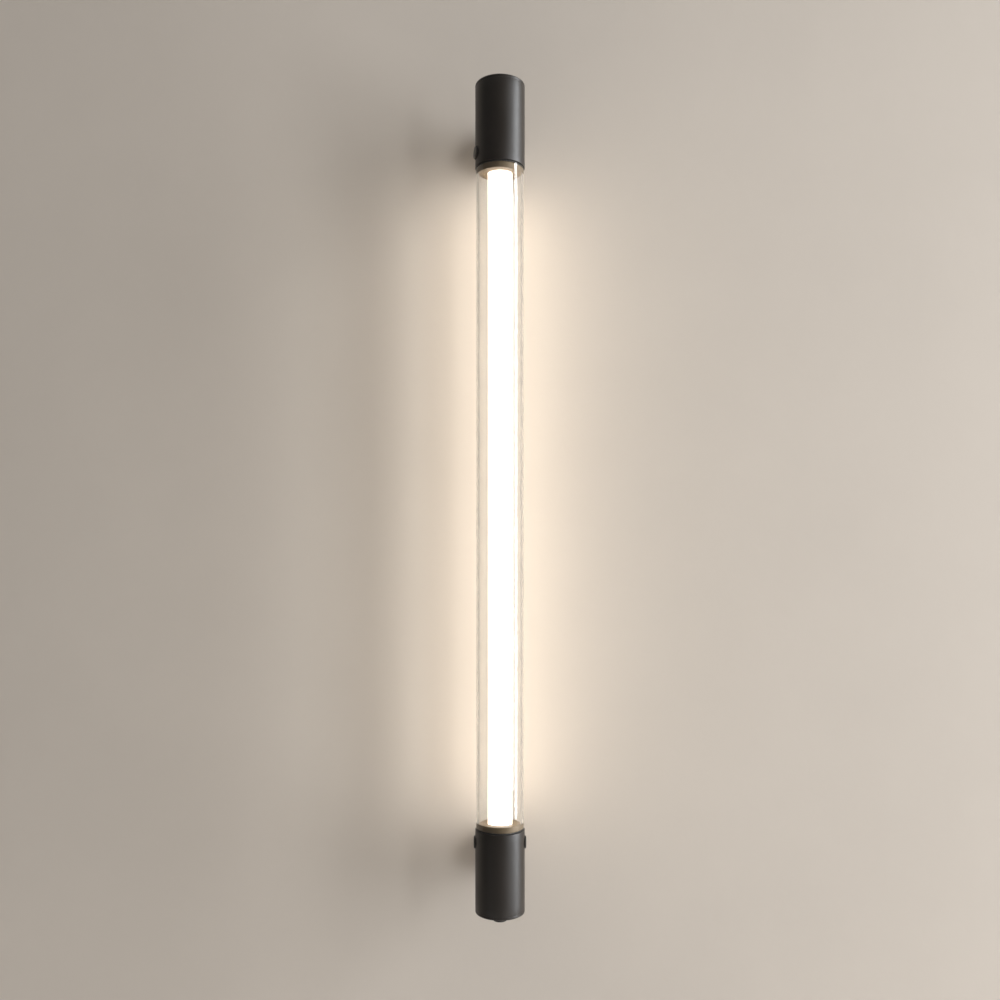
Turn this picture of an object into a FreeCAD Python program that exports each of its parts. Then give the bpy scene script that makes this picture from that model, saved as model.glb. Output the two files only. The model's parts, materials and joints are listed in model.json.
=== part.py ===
"""Tube wall light: a clear glass tube round an opal light tube, held between two metal end caps.

Frame, in millimetres: +Z is up along the tube, the wall is the plane y = 0 and the light stands out
towards -Y. The origin lies on the wall, midway between the four wall screws.
"""
import FreeCAD, Part
import math
import os

from FreeCAD import Vector

# Driving dimensions: the whole light
AXIS_TO_WALL = 70.0
CAP_DIA = 50.0
CAP_LENGTH = 84.0
CAP_OUTER_FACE = 417.0
CAP_WALL = 2.0
ARM_HEIGHT = 375.0

# End caps
END_DISC_THICKNESS = 3.0
END_DISC_ROUNDING = 2.0
END_DISC_SPIGOT_LENGTH = 4.0
END_DISC_SPIGOT_WALL = 2.0
SEAM_BEVEL = 0.3
RIM_BEVEL = 0.6

# Glass, gasket and light tube
GLASS_DIA = 48.2
GLASS_WALL = 3.0
GLASS_END_BEVEL = 0.4
GASKET_THICKNESS = 1.2
GASKET_DIA = 47.4
DIFFUSER_DIA = 24.2
DIFFUSER_WALL = 1.2

# Collars
COLLAR_REACH_INTO_GLASS = 7.0
COLLAR_GLASS_CLEARANCE = 0.3
COLLAR_CAP_CLEARANCE = 0.1
COLLAR_LENGTH_IN_CAP = 21.0
COLLAR_BORE_CLEARANCE = 0.1
COLLAR_SHOULDER_DEPTH = 10.5
COLLAR_SHOULDER_DIA = 21.0
COLLAR_EDGE_BEVEL = 0.5
COLLAR_WALL = 2.5
COLLAR_POCKET_DEPTH = 15.5
COLLAR_BOSS_DIA = 9.0

# Light tube's end plugs and what they hold
PLUG_FLANGE = 1.5
PLUG_SPIGOT_LENGTH = 8.5
PLUG_SPIGOT_CLEARANCE = 0.05
PLUG_LEAD_HOLE_DIA = 5.0
FEED_HOLE_DIA = 2.6
BAR_SIZE = 9.0
BAR_WALL = 1.2
BAR_SOCKET_CLEARANCE = 0.05
BOARD_WIDTH = 8.0
BOARD_THICKNESS = 1.0
BOARD_END_GAP = 2.0
LED_WIDTH = 3.5
LED_HEIGHT = 2.8
LED_THICKNESS = 0.8
LED_COUNT = 33

# Thumb screws
THUMB_SCREW_FROM_RIM = 13.6
THUMB_HEAD_DIA = 12.5
THUMB_HEAD_THICKNESS = 2.0
THUMB_HEAD_BEVEL = 0.5
THUMB_HEAD_OUTER_RADIUS = 26.4
THUMB_WASHER_DIA = 11.5
THUMB_WASHER_THICKNESS = 0.5
THUMB_SHANK_DIA = 4.0
THUMB_SHANK_LENGTH = 8.0
THREAD_CLEARANCE = 0.05
CAP_HOLE_DIA = 4.6
SPOT_FACE_DIA = 13.4
TOP_LEFT_ANGLE = 195.0
LEFT_ANGLE = 180.0
RIGHT_ANGLE = 0.0

# Push button in the bottom cap
BUTTON_DIA = 14.6
BUTTON_DROP = 8.4
BUTTON_HEIGHT = 6.1
BUTTON_CUP_WALL = 1.0
BUTTON_CROWN = 1.8
BUTTON_BEVEL = 0.7
PLUNGER_DIA = 6.0
PLUNGER_INNER_END = 14.5
BUSHING_BORE_DIA = 6.1
BUSHING_DIA = 10.0
BUSHING_FLANGE_DIA = 11.6
BUSHING_FLANGE = 1.2
SWITCH_BODY_SIZE = 13.0
SWITCH_BODY_START = 12.0
SWITCH_BODY_HEIGHT = 12.0
SWITCH_WELL_DIA = 6.8
SWITCH_WELL_DEPTH = 5.0
SWITCH_NUT_FLATS = 14.0
SWITCH_NUT_THICKNESS = 2.5
SPRING_MEAN_DIA = 8.6
SPRING_WIRE = 0.5
SPRING_TURNS = 3.5
SPRING_STEPS_PER_TURN = 18

# Arms and what clamps them
ARM_DIA = 19.0
ARM_BORE_DIA = 10.4
PIPE_DIA = 10.0
PIPE_BORE_DIA = 7.0
PIPE_WALL_END = 8.0
PIPE_CAP_END = 56.0
PIPE_NUT_FLATS = 14.0
PIPE_NUT_THICKNESS = 3.0
SADDLE_SIZE = 16.0
SADDLE_FLAT = 50.5

# Wall roses and brackets
ROSE_DIA = 48.0
ROSE_DEPTH = 14.0
ROSE_WALL = 2.0
ROSE_BEVEL = 1.2
BRACKET_DIA = 43.8
BRACKET_THICKNESS = 3.0
BRACKET_RIM_WALL = 2.0
BRACKET_RIM_DEPTH = 10.0
CABLE_HOLE_DIA = 12.0
WALL_SCREW_HOLE_DIA = 4.5
WALL_SCREW_HEAD_DIA = 9.0
WALL_SCREW_SPACING = 26.0
ROSE_SCREW_DIA = 3.0
ROSE_SCREW_HEAD_DIA = 5.6
ROSE_SCREW_LENGTH = 5.0
ROSE_SCREW_DEPTH = 6.0

# Driver, its bracket and the terminal block in the top cap
SHEET = 1.5
BRACKET_TAB_WIDTH = 18.0
BRACKET_TAB_DROP = 9.0
SHELF_HEIGHT = 16.0
SHELF_FRONT = 88.0
SHELF_WIDTH = 22.0
DRIVER_DIA = 36.0
DRIVER_HEIGHT = 18.0
DRIVER_BEVEL = 1.0
DRIVER_SCREW_DIA = 3.0
DRIVER_SCREW_HEAD_DIA = 5.5
DRIVER_SCREW_HEAD = 1.8
DRIVER_SCREW_REACH = 6.0
DRIVER_SCREW_SPACING = 15.0
DRIVER_SCREW_DEPTH = 76.0
TERMINAL_WIDTH = 22.0
TERMINAL_THICKNESS = 12.0
TERMINAL_HEIGHT = 9.0
TERMINAL_DEPTH = 64.0
TERMINAL_WAYS = 3
TERMINAL_WAY_DIA = 3.2
TERMINAL_WAY_REACH = 6.0
TERMINAL_WAY_PITCH = 7.0

# Leads
THROUGH_LEAD_DIA = 3.0
FEED_LEAD_DIA = 2.0
LEAD_EXIT_DEPTH = 84.0
LEAD_EXIT_OFFSET = 3.5
LEAD_EXIT_CLEARANCE = 0.3
LEAD_FIRST_BEND = 375.0
LEAD_SECOND_BEND = 358.5
FEED_LEAD_ON_BOARD = 4.0

# Worked out from the driving dimensions
CAP_RADIUS = CAP_DIA / 2
CAP_INNER_RADIUS = CAP_RADIUS - CAP_WALL
CAP_RIM = CAP_OUTER_FACE - CAP_LENGTH
SHELL_END = CAP_OUTER_FACE - END_DISC_THICKNESS
GLASS_RADIUS = GLASS_DIA / 2
GLASS_BORE_RADIUS = GLASS_RADIUS - GLASS_WALL
GLASS_END = CAP_RIM - GASKET_THICKNESS
DIFFUSER_RADIUS = DIFFUSER_DIA / 2
DIFFUSER_BORE_RADIUS = DIFFUSER_RADIUS - DIFFUSER_WALL
COLLAR_FACE = CAP_RIM - COLLAR_REACH_INTO_GLASS
COLLAR_END = CAP_RIM + COLLAR_LENGTH_IN_CAP
COLLAR_GLASS_RADIUS = GLASS_BORE_RADIUS - COLLAR_GLASS_CLEARANCE
COLLAR_CAP_RADIUS = CAP_INNER_RADIUS - COLLAR_CAP_CLEARANCE
COLLAR_SHOULDER = CAP_RIM + COLLAR_SHOULDER_DEPTH
DIFFUSER_END = COLLAR_SHOULDER - PLUG_FLANGE
PLUG_INNER_END = DIFFUSER_END - PLUG_SPIGOT_LENGTH
BOARD_END = PLUG_INNER_END - BOARD_END_GAP
BOARD_FACE = BAR_SIZE / 2 + BOARD_THICKNESS
SCREW_HEIGHT = CAP_RIM + THUMB_SCREW_FROM_RIM
HEAD_SEAT = THUMB_HEAD_OUTER_RADIUS - THUMB_HEAD_THICKNESS
WASHER_SEAT = HEAD_SEAT - THUMB_WASHER_THICKNESS
FEED_OFFSET = BOARD_FACE + FEED_LEAD_DIA / 2
SHELF_UNDERSIDE = ARM_HEIGHT + SHELF_HEIGHT
DRIVER_BASE = SHELF_UNDERSIDE + SHEET

UP = Vector(0, 0, 1)
OUT_FROM_WALL = Vector(0, -1, 0)
TUBE_AXIS = Vector(0, -AXIS_TO_WALL, 0)

parts = {}


def cylinder(radius, start, end):
    """A cylinder on the local Z axis from start to end."""
    return Part.makeCylinder(radius, end - start, Vector(0, 0, start))


def ring(outer, inner, start, end):
    """A tube on the local Z axis."""
    return cylinder(outer, start, end).cut(cylinder(inner, start, end))


def block(width, depth, height, centre):
    """A block centred on a point in X and Y, standing on the point's height."""
    corner = centre - Vector(width / 2, depth / 2, 0)
    return Part.makeBox(width, depth, height, corner)


def hexagon(flats, start, end):
    """A hexagonal prism on the local Z axis, by its size across flats."""
    corner_radius = flats / math.sqrt(3)
    corners = []
    for step in range(7):
        angle = math.radians(60 * step)
        corners.append(Vector(corner_radius * math.cos(angle), corner_radius * math.sin(angle), start))
    return Part.Face(Part.makePolygon(corners)).extrude(Vector(0, 0, end - start))


def rim_edges(shape, radius, height):
    """The circular edges of a turned shape that have this radius and lie at this height."""
    found = []
    for edge in shape.Edges:
        curve = edge.Curve
        if not isinstance(curve, Part.Circle):
            continue
        if abs(curve.Radius - radius) < 1e-4 and abs(curve.Center.z - height) < 1e-4:
            found.append(edge)
    return found


def rounded(shape, size, radius, height):
    return shape.makeFillet(size, rim_edges(shape, radius, height))


def bevelled(shape, size, radius, height):
    return shape.makeChamfer(size, rim_edges(shape, radius, height))


def placed(shape, origin, direction):
    """A local shape with its Z axis turned to a direction and its zero moved to a point."""
    turn = FreeCAD.Rotation(UP, direction)
    moved = shape.copy()
    moved.Placement = FreeCAD.Placement(origin, turn).multiply(moved.Placement)
    return moved


def on_tube_axis(shape):
    return placed(shape, TUBE_AXIS, UP)


def on_arm_axis(shape, height):
    """A shape whose local Z is the distance from the wall, at an arm's height."""
    return placed(shape, Vector(0, 0, height), OUT_FROM_WALL)


def on_screw_axis(shape, angle, height):
    """A shape whose local Z is the distance from the tube's axis, at a thumb screw's angle."""
    turn = math.radians(angle)
    return placed(shape, TUBE_AXIS + Vector(0, 0, height), Vector(math.cos(turn), math.sin(turn), 0))


def upside_down(shape):
    """The same piece at the bottom end, as its mirror image about mid-height."""
    return shape.mirror(Vector(0, 0, 0), UP)


def add(name, shape):
    parts[name] = shape


# End caps ---------------------------------------------------------------------------------------

def cap_shell(screw_angles):
    """The turned tube of a top end cap, with its arm hole and a spot face under each thumb screw."""
    shell = ring(CAP_RADIUS, CAP_INNER_RADIUS, CAP_RIM, SHELL_END)
    shell = bevelled(shell, RIM_BEVEL, CAP_RADIUS, CAP_RIM)
    shell = bevelled(shell, SEAM_BEVEL, CAP_RADIUS, SHELL_END)
    shell = on_tube_axis(shell)
    pipe_way = cylinder(ARM_BORE_DIA / 2, AXIS_TO_WALL - CAP_RADIUS - 1, AXIS_TO_WALL)
    shell = shell.cut(on_arm_axis(pipe_way, ARM_HEIGHT))
    for angle in screw_angles:
        hole = cylinder(CAP_HOLE_DIA / 2, CAP_INNER_RADIUS - 2, CAP_RADIUS + 1)
        seat = cylinder(SPOT_FACE_DIA / 2, WASHER_SEAT, CAP_RADIUS + 1)
        shell = shell.cut(on_screw_axis(hole.fuse(seat), angle, SCREW_HEIGHT))
    return shell


def end_disc():
    """The disc that closes a top cap: a rounded face with a hollow spigot inside the shell."""
    disc = cylinder(CAP_RADIUS, SHELL_END, CAP_OUTER_FACE)
    disc = rounded(disc, END_DISC_ROUNDING, CAP_RADIUS, CAP_OUTER_FACE)
    disc = bevelled(disc, SEAM_BEVEL, CAP_RADIUS, SHELL_END)
    spigot_bore = CAP_INNER_RADIUS - END_DISC_SPIGOT_WALL
    spigot = ring(CAP_INNER_RADIUS, spigot_bore, SHELL_END - END_DISC_SPIGOT_LENGTH, SHELL_END)
    return on_tube_axis(disc.fuse(spigot).removeSplitter())


def switch_hole():
    """The hole for the switch bushing through the bottom end disc, before it is turned over."""
    return on_tube_axis(cylinder(BUSHING_DIA / 2, SHELL_END - 1, CAP_OUTER_FACE + 1))


# Collars, gaskets and tubes ---------------------------------------------------------------------

def collar(screw_angles):
    """The stepped ring that centres glass and light tube and takes the thumb screws."""
    body = cylinder(COLLAR_GLASS_RADIUS, COLLAR_FACE, CAP_RIM)
    body = bevelled(body, COLLAR_EDGE_BEVEL, COLLAR_GLASS_RADIUS, COLLAR_FACE)
    body = body.fuse(cylinder(COLLAR_CAP_RADIUS, CAP_RIM, COLLAR_END))
    body = body.cut(cylinder(DIFFUSER_RADIUS + COLLAR_BORE_CLEARANCE, COLLAR_FACE, COLLAR_SHOULDER))
    body = body.cut(cylinder(COLLAR_SHOULDER_DIA / 2, COLLAR_SHOULDER, COLLAR_END))
    pocket_outer = COLLAR_CAP_RADIUS - COLLAR_WALL
    pocket_inner = DIFFUSER_RADIUS + COLLAR_WALL
    body = body.cut(ring(pocket_outer, pocket_inner, COLLAR_END - COLLAR_POCKET_DEPTH, COLLAR_END))
    body = on_tube_axis(body)
    hole_floor = pocket_inner + 1
    for angle in screw_angles:
        boss = cylinder(COLLAR_BOSS_DIA / 2, pocket_inner - 1, pocket_outer + 1)
        body = body.fuse(on_screw_axis(boss, angle, SCREW_HEIGHT))
    for angle in screw_angles:
        thread = cylinder(THUMB_SHANK_DIA / 2 + THREAD_CLEARANCE, hole_floor, CAP_RADIUS)
        body = body.cut(on_screw_axis(thread, angle, SCREW_HEIGHT))
    return body


def gasket():
    return on_tube_axis(ring(GASKET_DIA / 2, COLLAR_GLASS_RADIUS, GLASS_END, CAP_RIM))


def glass_tube():
    """The clear tube, with the sharp edges of its cut ends taken off."""
    tube = ring(GLASS_RADIUS, GLASS_BORE_RADIUS, -GLASS_END, GLASS_END)
    for end in (-GLASS_END, GLASS_END):
        tube = bevelled(tube, GLASS_END_BEVEL, GLASS_RADIUS, end)
        tube = bevelled(tube, GLASS_END_BEVEL, GLASS_BORE_RADIUS, end)
    return on_tube_axis(tube)


def diffuser_tube():
    return on_tube_axis(ring(DIFFUSER_RADIUS, DIFFUSER_BORE_RADIUS, -DIFFUSER_END, DIFFUSER_END))


# Inside the light tube --------------------------------------------------------------------------

def diffuser_plug(with_feed_hole):
    """The top end plug: a flange over the tube's end, a spigot inside it and a square bar socket."""
    plug = cylinder(DIFFUSER_RADIUS, DIFFUSER_END, COLLAR_SHOULDER)
    plug = plug.fuse(cylinder(DIFFUSER_BORE_RADIUS - PLUG_SPIGOT_CLEARANCE, PLUG_INNER_END, DIFFUSER_END))
    socket = BAR_SIZE + 2 * BAR_SOCKET_CLEARANCE
    plug = plug.cut(block(socket, socket, PLUG_SPIGOT_LENGTH, Vector(0, 0, PLUG_INNER_END)))
    plug = plug.cut(cylinder(PLUG_LEAD_HOLE_DIA / 2, DIFFUSER_END, COLLAR_SHOULDER))
    if with_feed_hole:
        hole = cylinder(FEED_HOLE_DIA / 2, PLUG_INNER_END, COLLAR_SHOULDER)
        hole.translate(Vector(0, -FEED_OFFSET, 0))
        plug = plug.cut(hole)
    return on_tube_axis(plug)


def led_bar():
    """The square aluminium tube that carries both boards and the through lead."""
    length = 2 * DIFFUSER_END
    bore = BAR_SIZE - 2 * BAR_WALL
    bar = block(BAR_SIZE, BAR_SIZE, length, Vector(0, 0, -DIFFUSER_END))
    return on_tube_axis(bar.cut(block(bore, bore, length, Vector(0, 0, -DIFFUSER_END))))


def led_board(side):
    """A board along one face of the bar: side is -1 at the front and +1 towards the wall."""
    middle = side * (BAR_SIZE + BOARD_THICKNESS) / 2
    return on_tube_axis(block(BOARD_WIDTH, BOARD_THICKNESS, 2 * BOARD_END, Vector(0, middle, -BOARD_END)))


def led_packages(side):
    """The row of light-emitting packages on one board, as separate solids."""
    middle = side * (BOARD_FACE + LED_THICKNESS / 2)
    pitch = 2 * BOARD_END / LED_COUNT
    packages = []
    for index in range(LED_COUNT):
        height = (index - (LED_COUNT - 1) / 2) * pitch - LED_HEIGHT / 2
        packages.append(block(LED_WIDTH, LED_THICKNESS, LED_HEIGHT, Vector(0, middle, height)))
    return on_tube_axis(Part.makeCompound(packages))


# Thumb screws -----------------------------------------------------------------------------------

def thumb_screw(angle, height):
    """A round-headed thumb screw that clamps the cap to its collar."""
    head = cylinder(THUMB_HEAD_DIA / 2, HEAD_SEAT, THUMB_HEAD_OUTER_RADIUS)
    head = bevelled(head, THUMB_HEAD_BEVEL, THUMB_HEAD_DIA / 2, THUMB_HEAD_OUTER_RADIUS)
    shank = cylinder(THUMB_SHANK_DIA / 2, HEAD_SEAT - THUMB_SHANK_LENGTH, HEAD_SEAT)
    return on_screw_axis(head.fuse(shank), angle, height)


def thumb_washer(angle, height):
    inner = THUMB_SHANK_DIA / 2 + THREAD_CLEARANCE
    return on_screw_axis(ring(THUMB_WASHER_DIA / 2, inner, WASHER_SEAT, HEAD_SEAT), angle, height)


# Push button and switch: local Z is the distance below the cap's outer face ----------------------

def below_cap(shape):
    return placed(shape, TUBE_AXIS - Vector(0, 0, CAP_OUTER_FACE), Vector(0, 0, -1))


def push_button():
    """The round button: a hollow cup over the bushing, on a plunger that runs in the bushing."""
    top = BUTTON_DROP - BUTTON_HEIGHT
    cup = cylinder(BUTTON_DIA / 2, top, BUTTON_DROP)
    cup = bevelled(cup, BUTTON_BEVEL, BUTTON_DIA / 2, BUTTON_DROP)
    cup = cup.cut(cylinder(BUTTON_DIA / 2 - BUTTON_CUP_WALL, top, BUTTON_DROP - BUTTON_CROWN))
    plunger = cylinder(PLUNGER_DIA / 2, -PLUNGER_INNER_END, BUTTON_DROP - BUTTON_CROWN)
    return below_cap(cup.fuse(plunger))


def spring_section(step, rise):
    """The square section of the spring wire after a number of steps round the coil."""
    half = SPRING_WIRE / 2
    angle = 2 * math.pi * step / SPRING_STEPS_PER_TURN
    corners = []
    for across, along in ((-half, -half), (half, -half), (half, half), (-half, half), (-half, -half)):
        reach = SPRING_MEAN_DIA / 2 + across
        corners.append(Vector(reach * math.cos(angle), reach * math.sin(angle), step * rise + along))
    return Part.makePolygon(corners)


def button_spring():
    """The coil spring of square wire between the bushing's flange and the button's crown."""
    space = BUTTON_DROP - BUTTON_CROWN - BUSHING_FLANGE
    steps = round(SPRING_TURNS * SPRING_STEPS_PER_TURN)
    rise = (space - SPRING_WIRE) / steps
    sections = [spring_section(step, rise) for step in range(steps + 1)]
    coil = Part.makeLoft(sections, True, True)
    coil.translate(Vector(0, 0, BUSHING_FLANGE + SPRING_WIRE / 2))
    print("button_spring gap between turns", round(rise * SPRING_STEPS_PER_TURN - SPRING_WIRE, 2))
    return below_cap(coil)


def switch_body():
    """The switch: a square body on a threaded bushing whose flange bears on the end disc."""
    bushing = cylinder(BUSHING_DIA / 2, -SWITCH_BODY_START, 0)
    bushing = bushing.fuse(cylinder(BUSHING_FLANGE_DIA / 2, 0, BUSHING_FLANGE))
    body_end = -SWITCH_BODY_START - SWITCH_BODY_HEIGHT
    body = block(SWITCH_BODY_SIZE, SWITCH_BODY_SIZE, SWITCH_BODY_HEIGHT, Vector(0, 0, body_end))
    switch = body.fuse(bushing)
    switch = switch.cut(cylinder(BUSHING_BORE_DIA / 2, -SWITCH_BODY_START, BUSHING_FLANGE))
    well = cylinder(SWITCH_WELL_DIA / 2, -SWITCH_BODY_START - SWITCH_WELL_DEPTH, -SWITCH_BODY_START)
    return below_cap(switch.cut(well))


def switch_nut():
    seat = -END_DISC_THICKNESS
    nut = hexagon(SWITCH_NUT_FLATS, seat - SWITCH_NUT_THICKNESS, seat)
    return below_cap(nut.cut(cylinder(BUSHING_DIA / 2, seat - SWITCH_NUT_THICKNESS, seat)))


# Arms: local Z is the distance from the wall ------------------------------------------------------

def arm(height):
    """The round spacer tube from rose to cap, its front end cut to sit on the cap's curve."""
    tube = ring(ARM_DIA / 2, ARM_BORE_DIA / 2, ROSE_DEPTH, AXIS_TO_WALL)
    cap = on_tube_axis(cylinder(CAP_RADIUS, -CAP_OUTER_FACE, CAP_OUTER_FACE))
    return on_arm_axis(tube, height).cut(cap)


def stay_pipe(height):
    return on_arm_axis(ring(PIPE_DIA / 2, PIPE_BORE_DIA / 2, PIPE_WALL_END, PIPE_CAP_END), height)


def pipe_nut(start):
    nut = hexagon(PIPE_NUT_FLATS, start, start + PIPE_NUT_THICKNESS)
    return nut.cut(cylinder(PIPE_DIA / 2, start, start + PIPE_NUT_THICKNESS))


def pipe_nuts(height, front_seat):
    """The two nuts that clamp rose, arm and cap together, as separate solids."""
    rear = pipe_nut(ROSE_DEPTH - ROSE_WALL - PIPE_NUT_THICKNESS)
    return on_arm_axis(Part.makeCompound([rear, pipe_nut(front_seat)]), height)


def saddle_washer(height):
    """The washer inside the cap: curved to the cap's wall behind, flat for the nut in front."""
    blank = block(SADDLE_SIZE, SADDLE_SIZE, SADDLE_FLAT, Vector(0, 0, 0))
    blank = blank.cut(cylinder(PIPE_DIA / 2, 0, SADDLE_FLAT))
    cap_bore = on_tube_axis(cylinder(CAP_INNER_RADIUS, -CAP_OUTER_FACE, CAP_OUTER_FACE))
    return on_arm_axis(blank, height).common(cap_bore)


# Wall roses and brackets: local Z is the distance from the wall -----------------------------------

def countersunk_holes(shape, offset):
    """Cuts the two wall screw holes, countersunk at the front, at plus and minus an offset in X."""
    head_depth = (WALL_SCREW_HEAD_DIA - WALL_SCREW_HOLE_DIA) / 2
    sink_start = BRACKET_THICKNESS - head_depth
    for side in (-1, 1):
        hole = cylinder(WALL_SCREW_HOLE_DIA / 2, 0, BRACKET_THICKNESS)
        sink = Part.makeCone(
            WALL_SCREW_HOLE_DIA / 2, WALL_SCREW_HEAD_DIA / 2, head_depth, Vector(0, 0, sink_start)
        )
        tool = hole.fuse(sink)
        tool.translate(Vector(side * offset, 0, 0))
        shape = shape.cut(tool)
    return shape


def rose_screw(side):
    """A countersunk side screw, lying along X, that locks the rose to its bracket."""
    outer = ROSE_DIA / 2
    head_depth = (ROSE_SCREW_HEAD_DIA - ROSE_SCREW_DIA) / 2
    screw = cylinder(ROSE_SCREW_DIA / 2, outer - ROSE_SCREW_LENGTH, outer - head_depth)
    head = Part.makeCone(
        ROSE_SCREW_DIA / 2, ROSE_SCREW_HEAD_DIA / 2, head_depth, Vector(0, 0, outer - head_depth)
    )
    return placed(screw.fuse(head), Vector(0, 0, ROSE_SCREW_DEPTH), Vector(side, 0, 0))


def wall_bracket(height):
    """The cup-shaped plate that is screwed to the wall and that the rose slides over."""
    plate = cylinder(BRACKET_DIA / 2, 0, BRACKET_RIM_DEPTH)
    rim_bore = BRACKET_DIA / 2 - BRACKET_RIM_WALL
    plate = plate.cut(cylinder(rim_bore, BRACKET_THICKNESS, BRACKET_RIM_DEPTH))
    plate = plate.cut(cylinder(CABLE_HOLE_DIA / 2, 0, BRACKET_THICKNESS))
    plate = countersunk_holes(plate, WALL_SCREW_SPACING / 2)
    for side in (-1, 1):
        plate = plate.cut(rose_screw(side))
    return on_arm_axis(plate, height)


def wall_rose(height):
    """The cup that hides the bracket, with a bevelled front edge and the hole for the stay pipe."""
    cup = cylinder(ROSE_DIA / 2, 0, ROSE_DEPTH)
    cup = bevelled(cup, ROSE_BEVEL, ROSE_DIA / 2, ROSE_DEPTH)
    cup = cup.cut(cylinder(ROSE_DIA / 2 - ROSE_WALL, 0, ROSE_DEPTH - ROSE_WALL))
    cup = cup.cut(cylinder(PIPE_DIA / 2, ROSE_DEPTH - ROSE_WALL, ROSE_DEPTH))
    for side in (-1, 1):
        cup = cup.cut(rose_screw(side))
    return on_arm_axis(cup, height)


def rose_screws():
    screws = []
    for height in (-ARM_HEIGHT, ARM_HEIGHT):
        for side in (-1, 1):
            screws.append(on_arm_axis(rose_screw(side), height))
    return Part.makeCompound(screws)


# Driver, its bracket and terminals in the top cap -------------------------------------------------

def driver_screw_places():
    half = DRIVER_SCREW_SPACING / 2
    return [Vector(-half, -DRIVER_SCREW_DEPTH, 0), Vector(half, -DRIVER_SCREW_DEPTH, 0)]


def lead_exit_hole(side, diameter):
    """The way through the shelf for a lead that leaves the driver's underside."""
    hole = cylinder(diameter / 2 + LEAD_EXIT_CLEARANCE, SHELF_UNDERSIDE, DRIVER_BASE)
    hole.translate(Vector(side * LEAD_EXIT_OFFSET, -LEAD_EXIT_DEPTH, 0))
    return hole


def driver_bracket():
    """A bent sheet: a tab clamped behind the arm's nut and a shelf under the driver."""
    tab_bottom = ARM_HEIGHT - BRACKET_TAB_DROP
    tab_middle = SADDLE_FLAT + SHEET / 2
    tab = block(BRACKET_TAB_WIDTH, SHEET, DRIVER_BASE - tab_bottom, Vector(0, -tab_middle, tab_bottom))
    shelf_depth = SHELF_FRONT - SADDLE_FLAT
    shelf_middle = SADDLE_FLAT + shelf_depth / 2
    shelf = block(SHELF_WIDTH, shelf_depth, SHEET, Vector(0, -shelf_middle, SHELF_UNDERSIDE))
    bracket = tab.fuse(shelf)
    pipe_hole = cylinder(PIPE_DIA / 2, SADDLE_FLAT - 1, SADDLE_FLAT + SHEET + 1)
    bracket = bracket.cut(on_arm_axis(pipe_hole, ARM_HEIGHT))
    bracket = bracket.cut(lead_exit_hole(1, THROUGH_LEAD_DIA))
    bracket = bracket.cut(lead_exit_hole(-1, FEED_LEAD_DIA))
    for place in driver_screw_places():
        hole = cylinder(DRIVER_SCREW_DIA / 2, SHELF_UNDERSIDE, DRIVER_BASE)
        hole.translate(place)
        bracket = bracket.cut(hole)
    return bracket.removeSplitter()


def led_driver():
    """The round potted driver, with blind holes for its two screws."""
    can = cylinder(DRIVER_DIA / 2, DRIVER_BASE, DRIVER_BASE + DRIVER_HEIGHT)
    can = bevelled(can, DRIVER_BEVEL, DRIVER_DIA / 2, DRIVER_BASE + DRIVER_HEIGHT)
    can = on_tube_axis(can)
    for place in driver_screw_places():
        hole = cylinder(DRIVER_SCREW_DIA / 2, DRIVER_BASE, DRIVER_BASE + DRIVER_SCREW_REACH)
        hole.translate(place)
        can = can.cut(hole)
    return can


def driver_screws():
    """The two pan-head screws that hold the driver to its shelf, as separate solids."""
    screws = []
    for place in driver_screw_places():
        shank = cylinder(DRIVER_SCREW_DIA / 2, SHELF_UNDERSIDE, DRIVER_BASE + DRIVER_SCREW_REACH)
        head = cylinder(DRIVER_SCREW_HEAD_DIA / 2, SHELF_UNDERSIDE - DRIVER_SCREW_HEAD, SHELF_UNDERSIDE)
        screw = shank.fuse(head)
        screw.translate(place)
        screws.append(screw)
    return Part.makeCompound(screws)


def terminal_block():
    """The supply terminals under the shelf: three wire ways that open downwards."""
    underside = SHELF_UNDERSIDE - TERMINAL_HEIGHT
    body = block(TERMINAL_WIDTH, TERMINAL_THICKNESS, TERMINAL_HEIGHT, Vector(0, -TERMINAL_DEPTH, underside))
    for index in range(TERMINAL_WAYS):
        across = (index - (TERMINAL_WAYS - 1) / 2) * TERMINAL_WAY_PITCH
        way = cylinder(TERMINAL_WAY_DIA / 2, underside, underside + TERMINAL_WAY_REACH)
        way.translate(Vector(across, -TERMINAL_DEPTH, 0))
        body = body.cut(way)
    return body


# Leads ------------------------------------------------------------------------------------------

def lead(name, points, diameter):
    """A round lead along straight runs joined by tangent arcs, each as large as its runs allow."""
    edges = []
    start = points[0]
    for before, corner, after in zip(points, points[1:], points[2:]):
        incoming = (corner - before).normalize()
        outgoing = (after - corner).normalize()
        half_turn = incoming.getAngle(outgoing) / 2
        trim = 0.45 * min((corner - before).Length, (after - corner).Length)
        radius = trim / math.tan(half_turn)
        inward = (outgoing - incoming).normalize()
        arc_start = corner - incoming * trim
        arc_end = corner + outgoing * trim
        arc_middle = corner + inward * (radius / math.cos(half_turn) - radius)
        edges.append(Part.LineSegment(start, arc_start).toShape())
        edges.append(Part.Arc(arc_start, arc_middle, arc_end).toShape())
        start = arc_end
        print(name, "bend radius", round(radius, 1))
    edges.append(Part.LineSegment(start, points[-1]).toShape())
    path = Part.Wire(edges)
    heading = points[1] - points[0]
    section = Part.Wire(Part.makeCircle(diameter / 2, points[0], heading))
    tube = path.makePipeShell([section], True, False)
    expected = path.Length * math.pi * diameter ** 2 / 4
    print(name, "length", round(path.Length, 1), "volume ratio", round(tube.Volume / expected, 4))
    return tube


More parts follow.
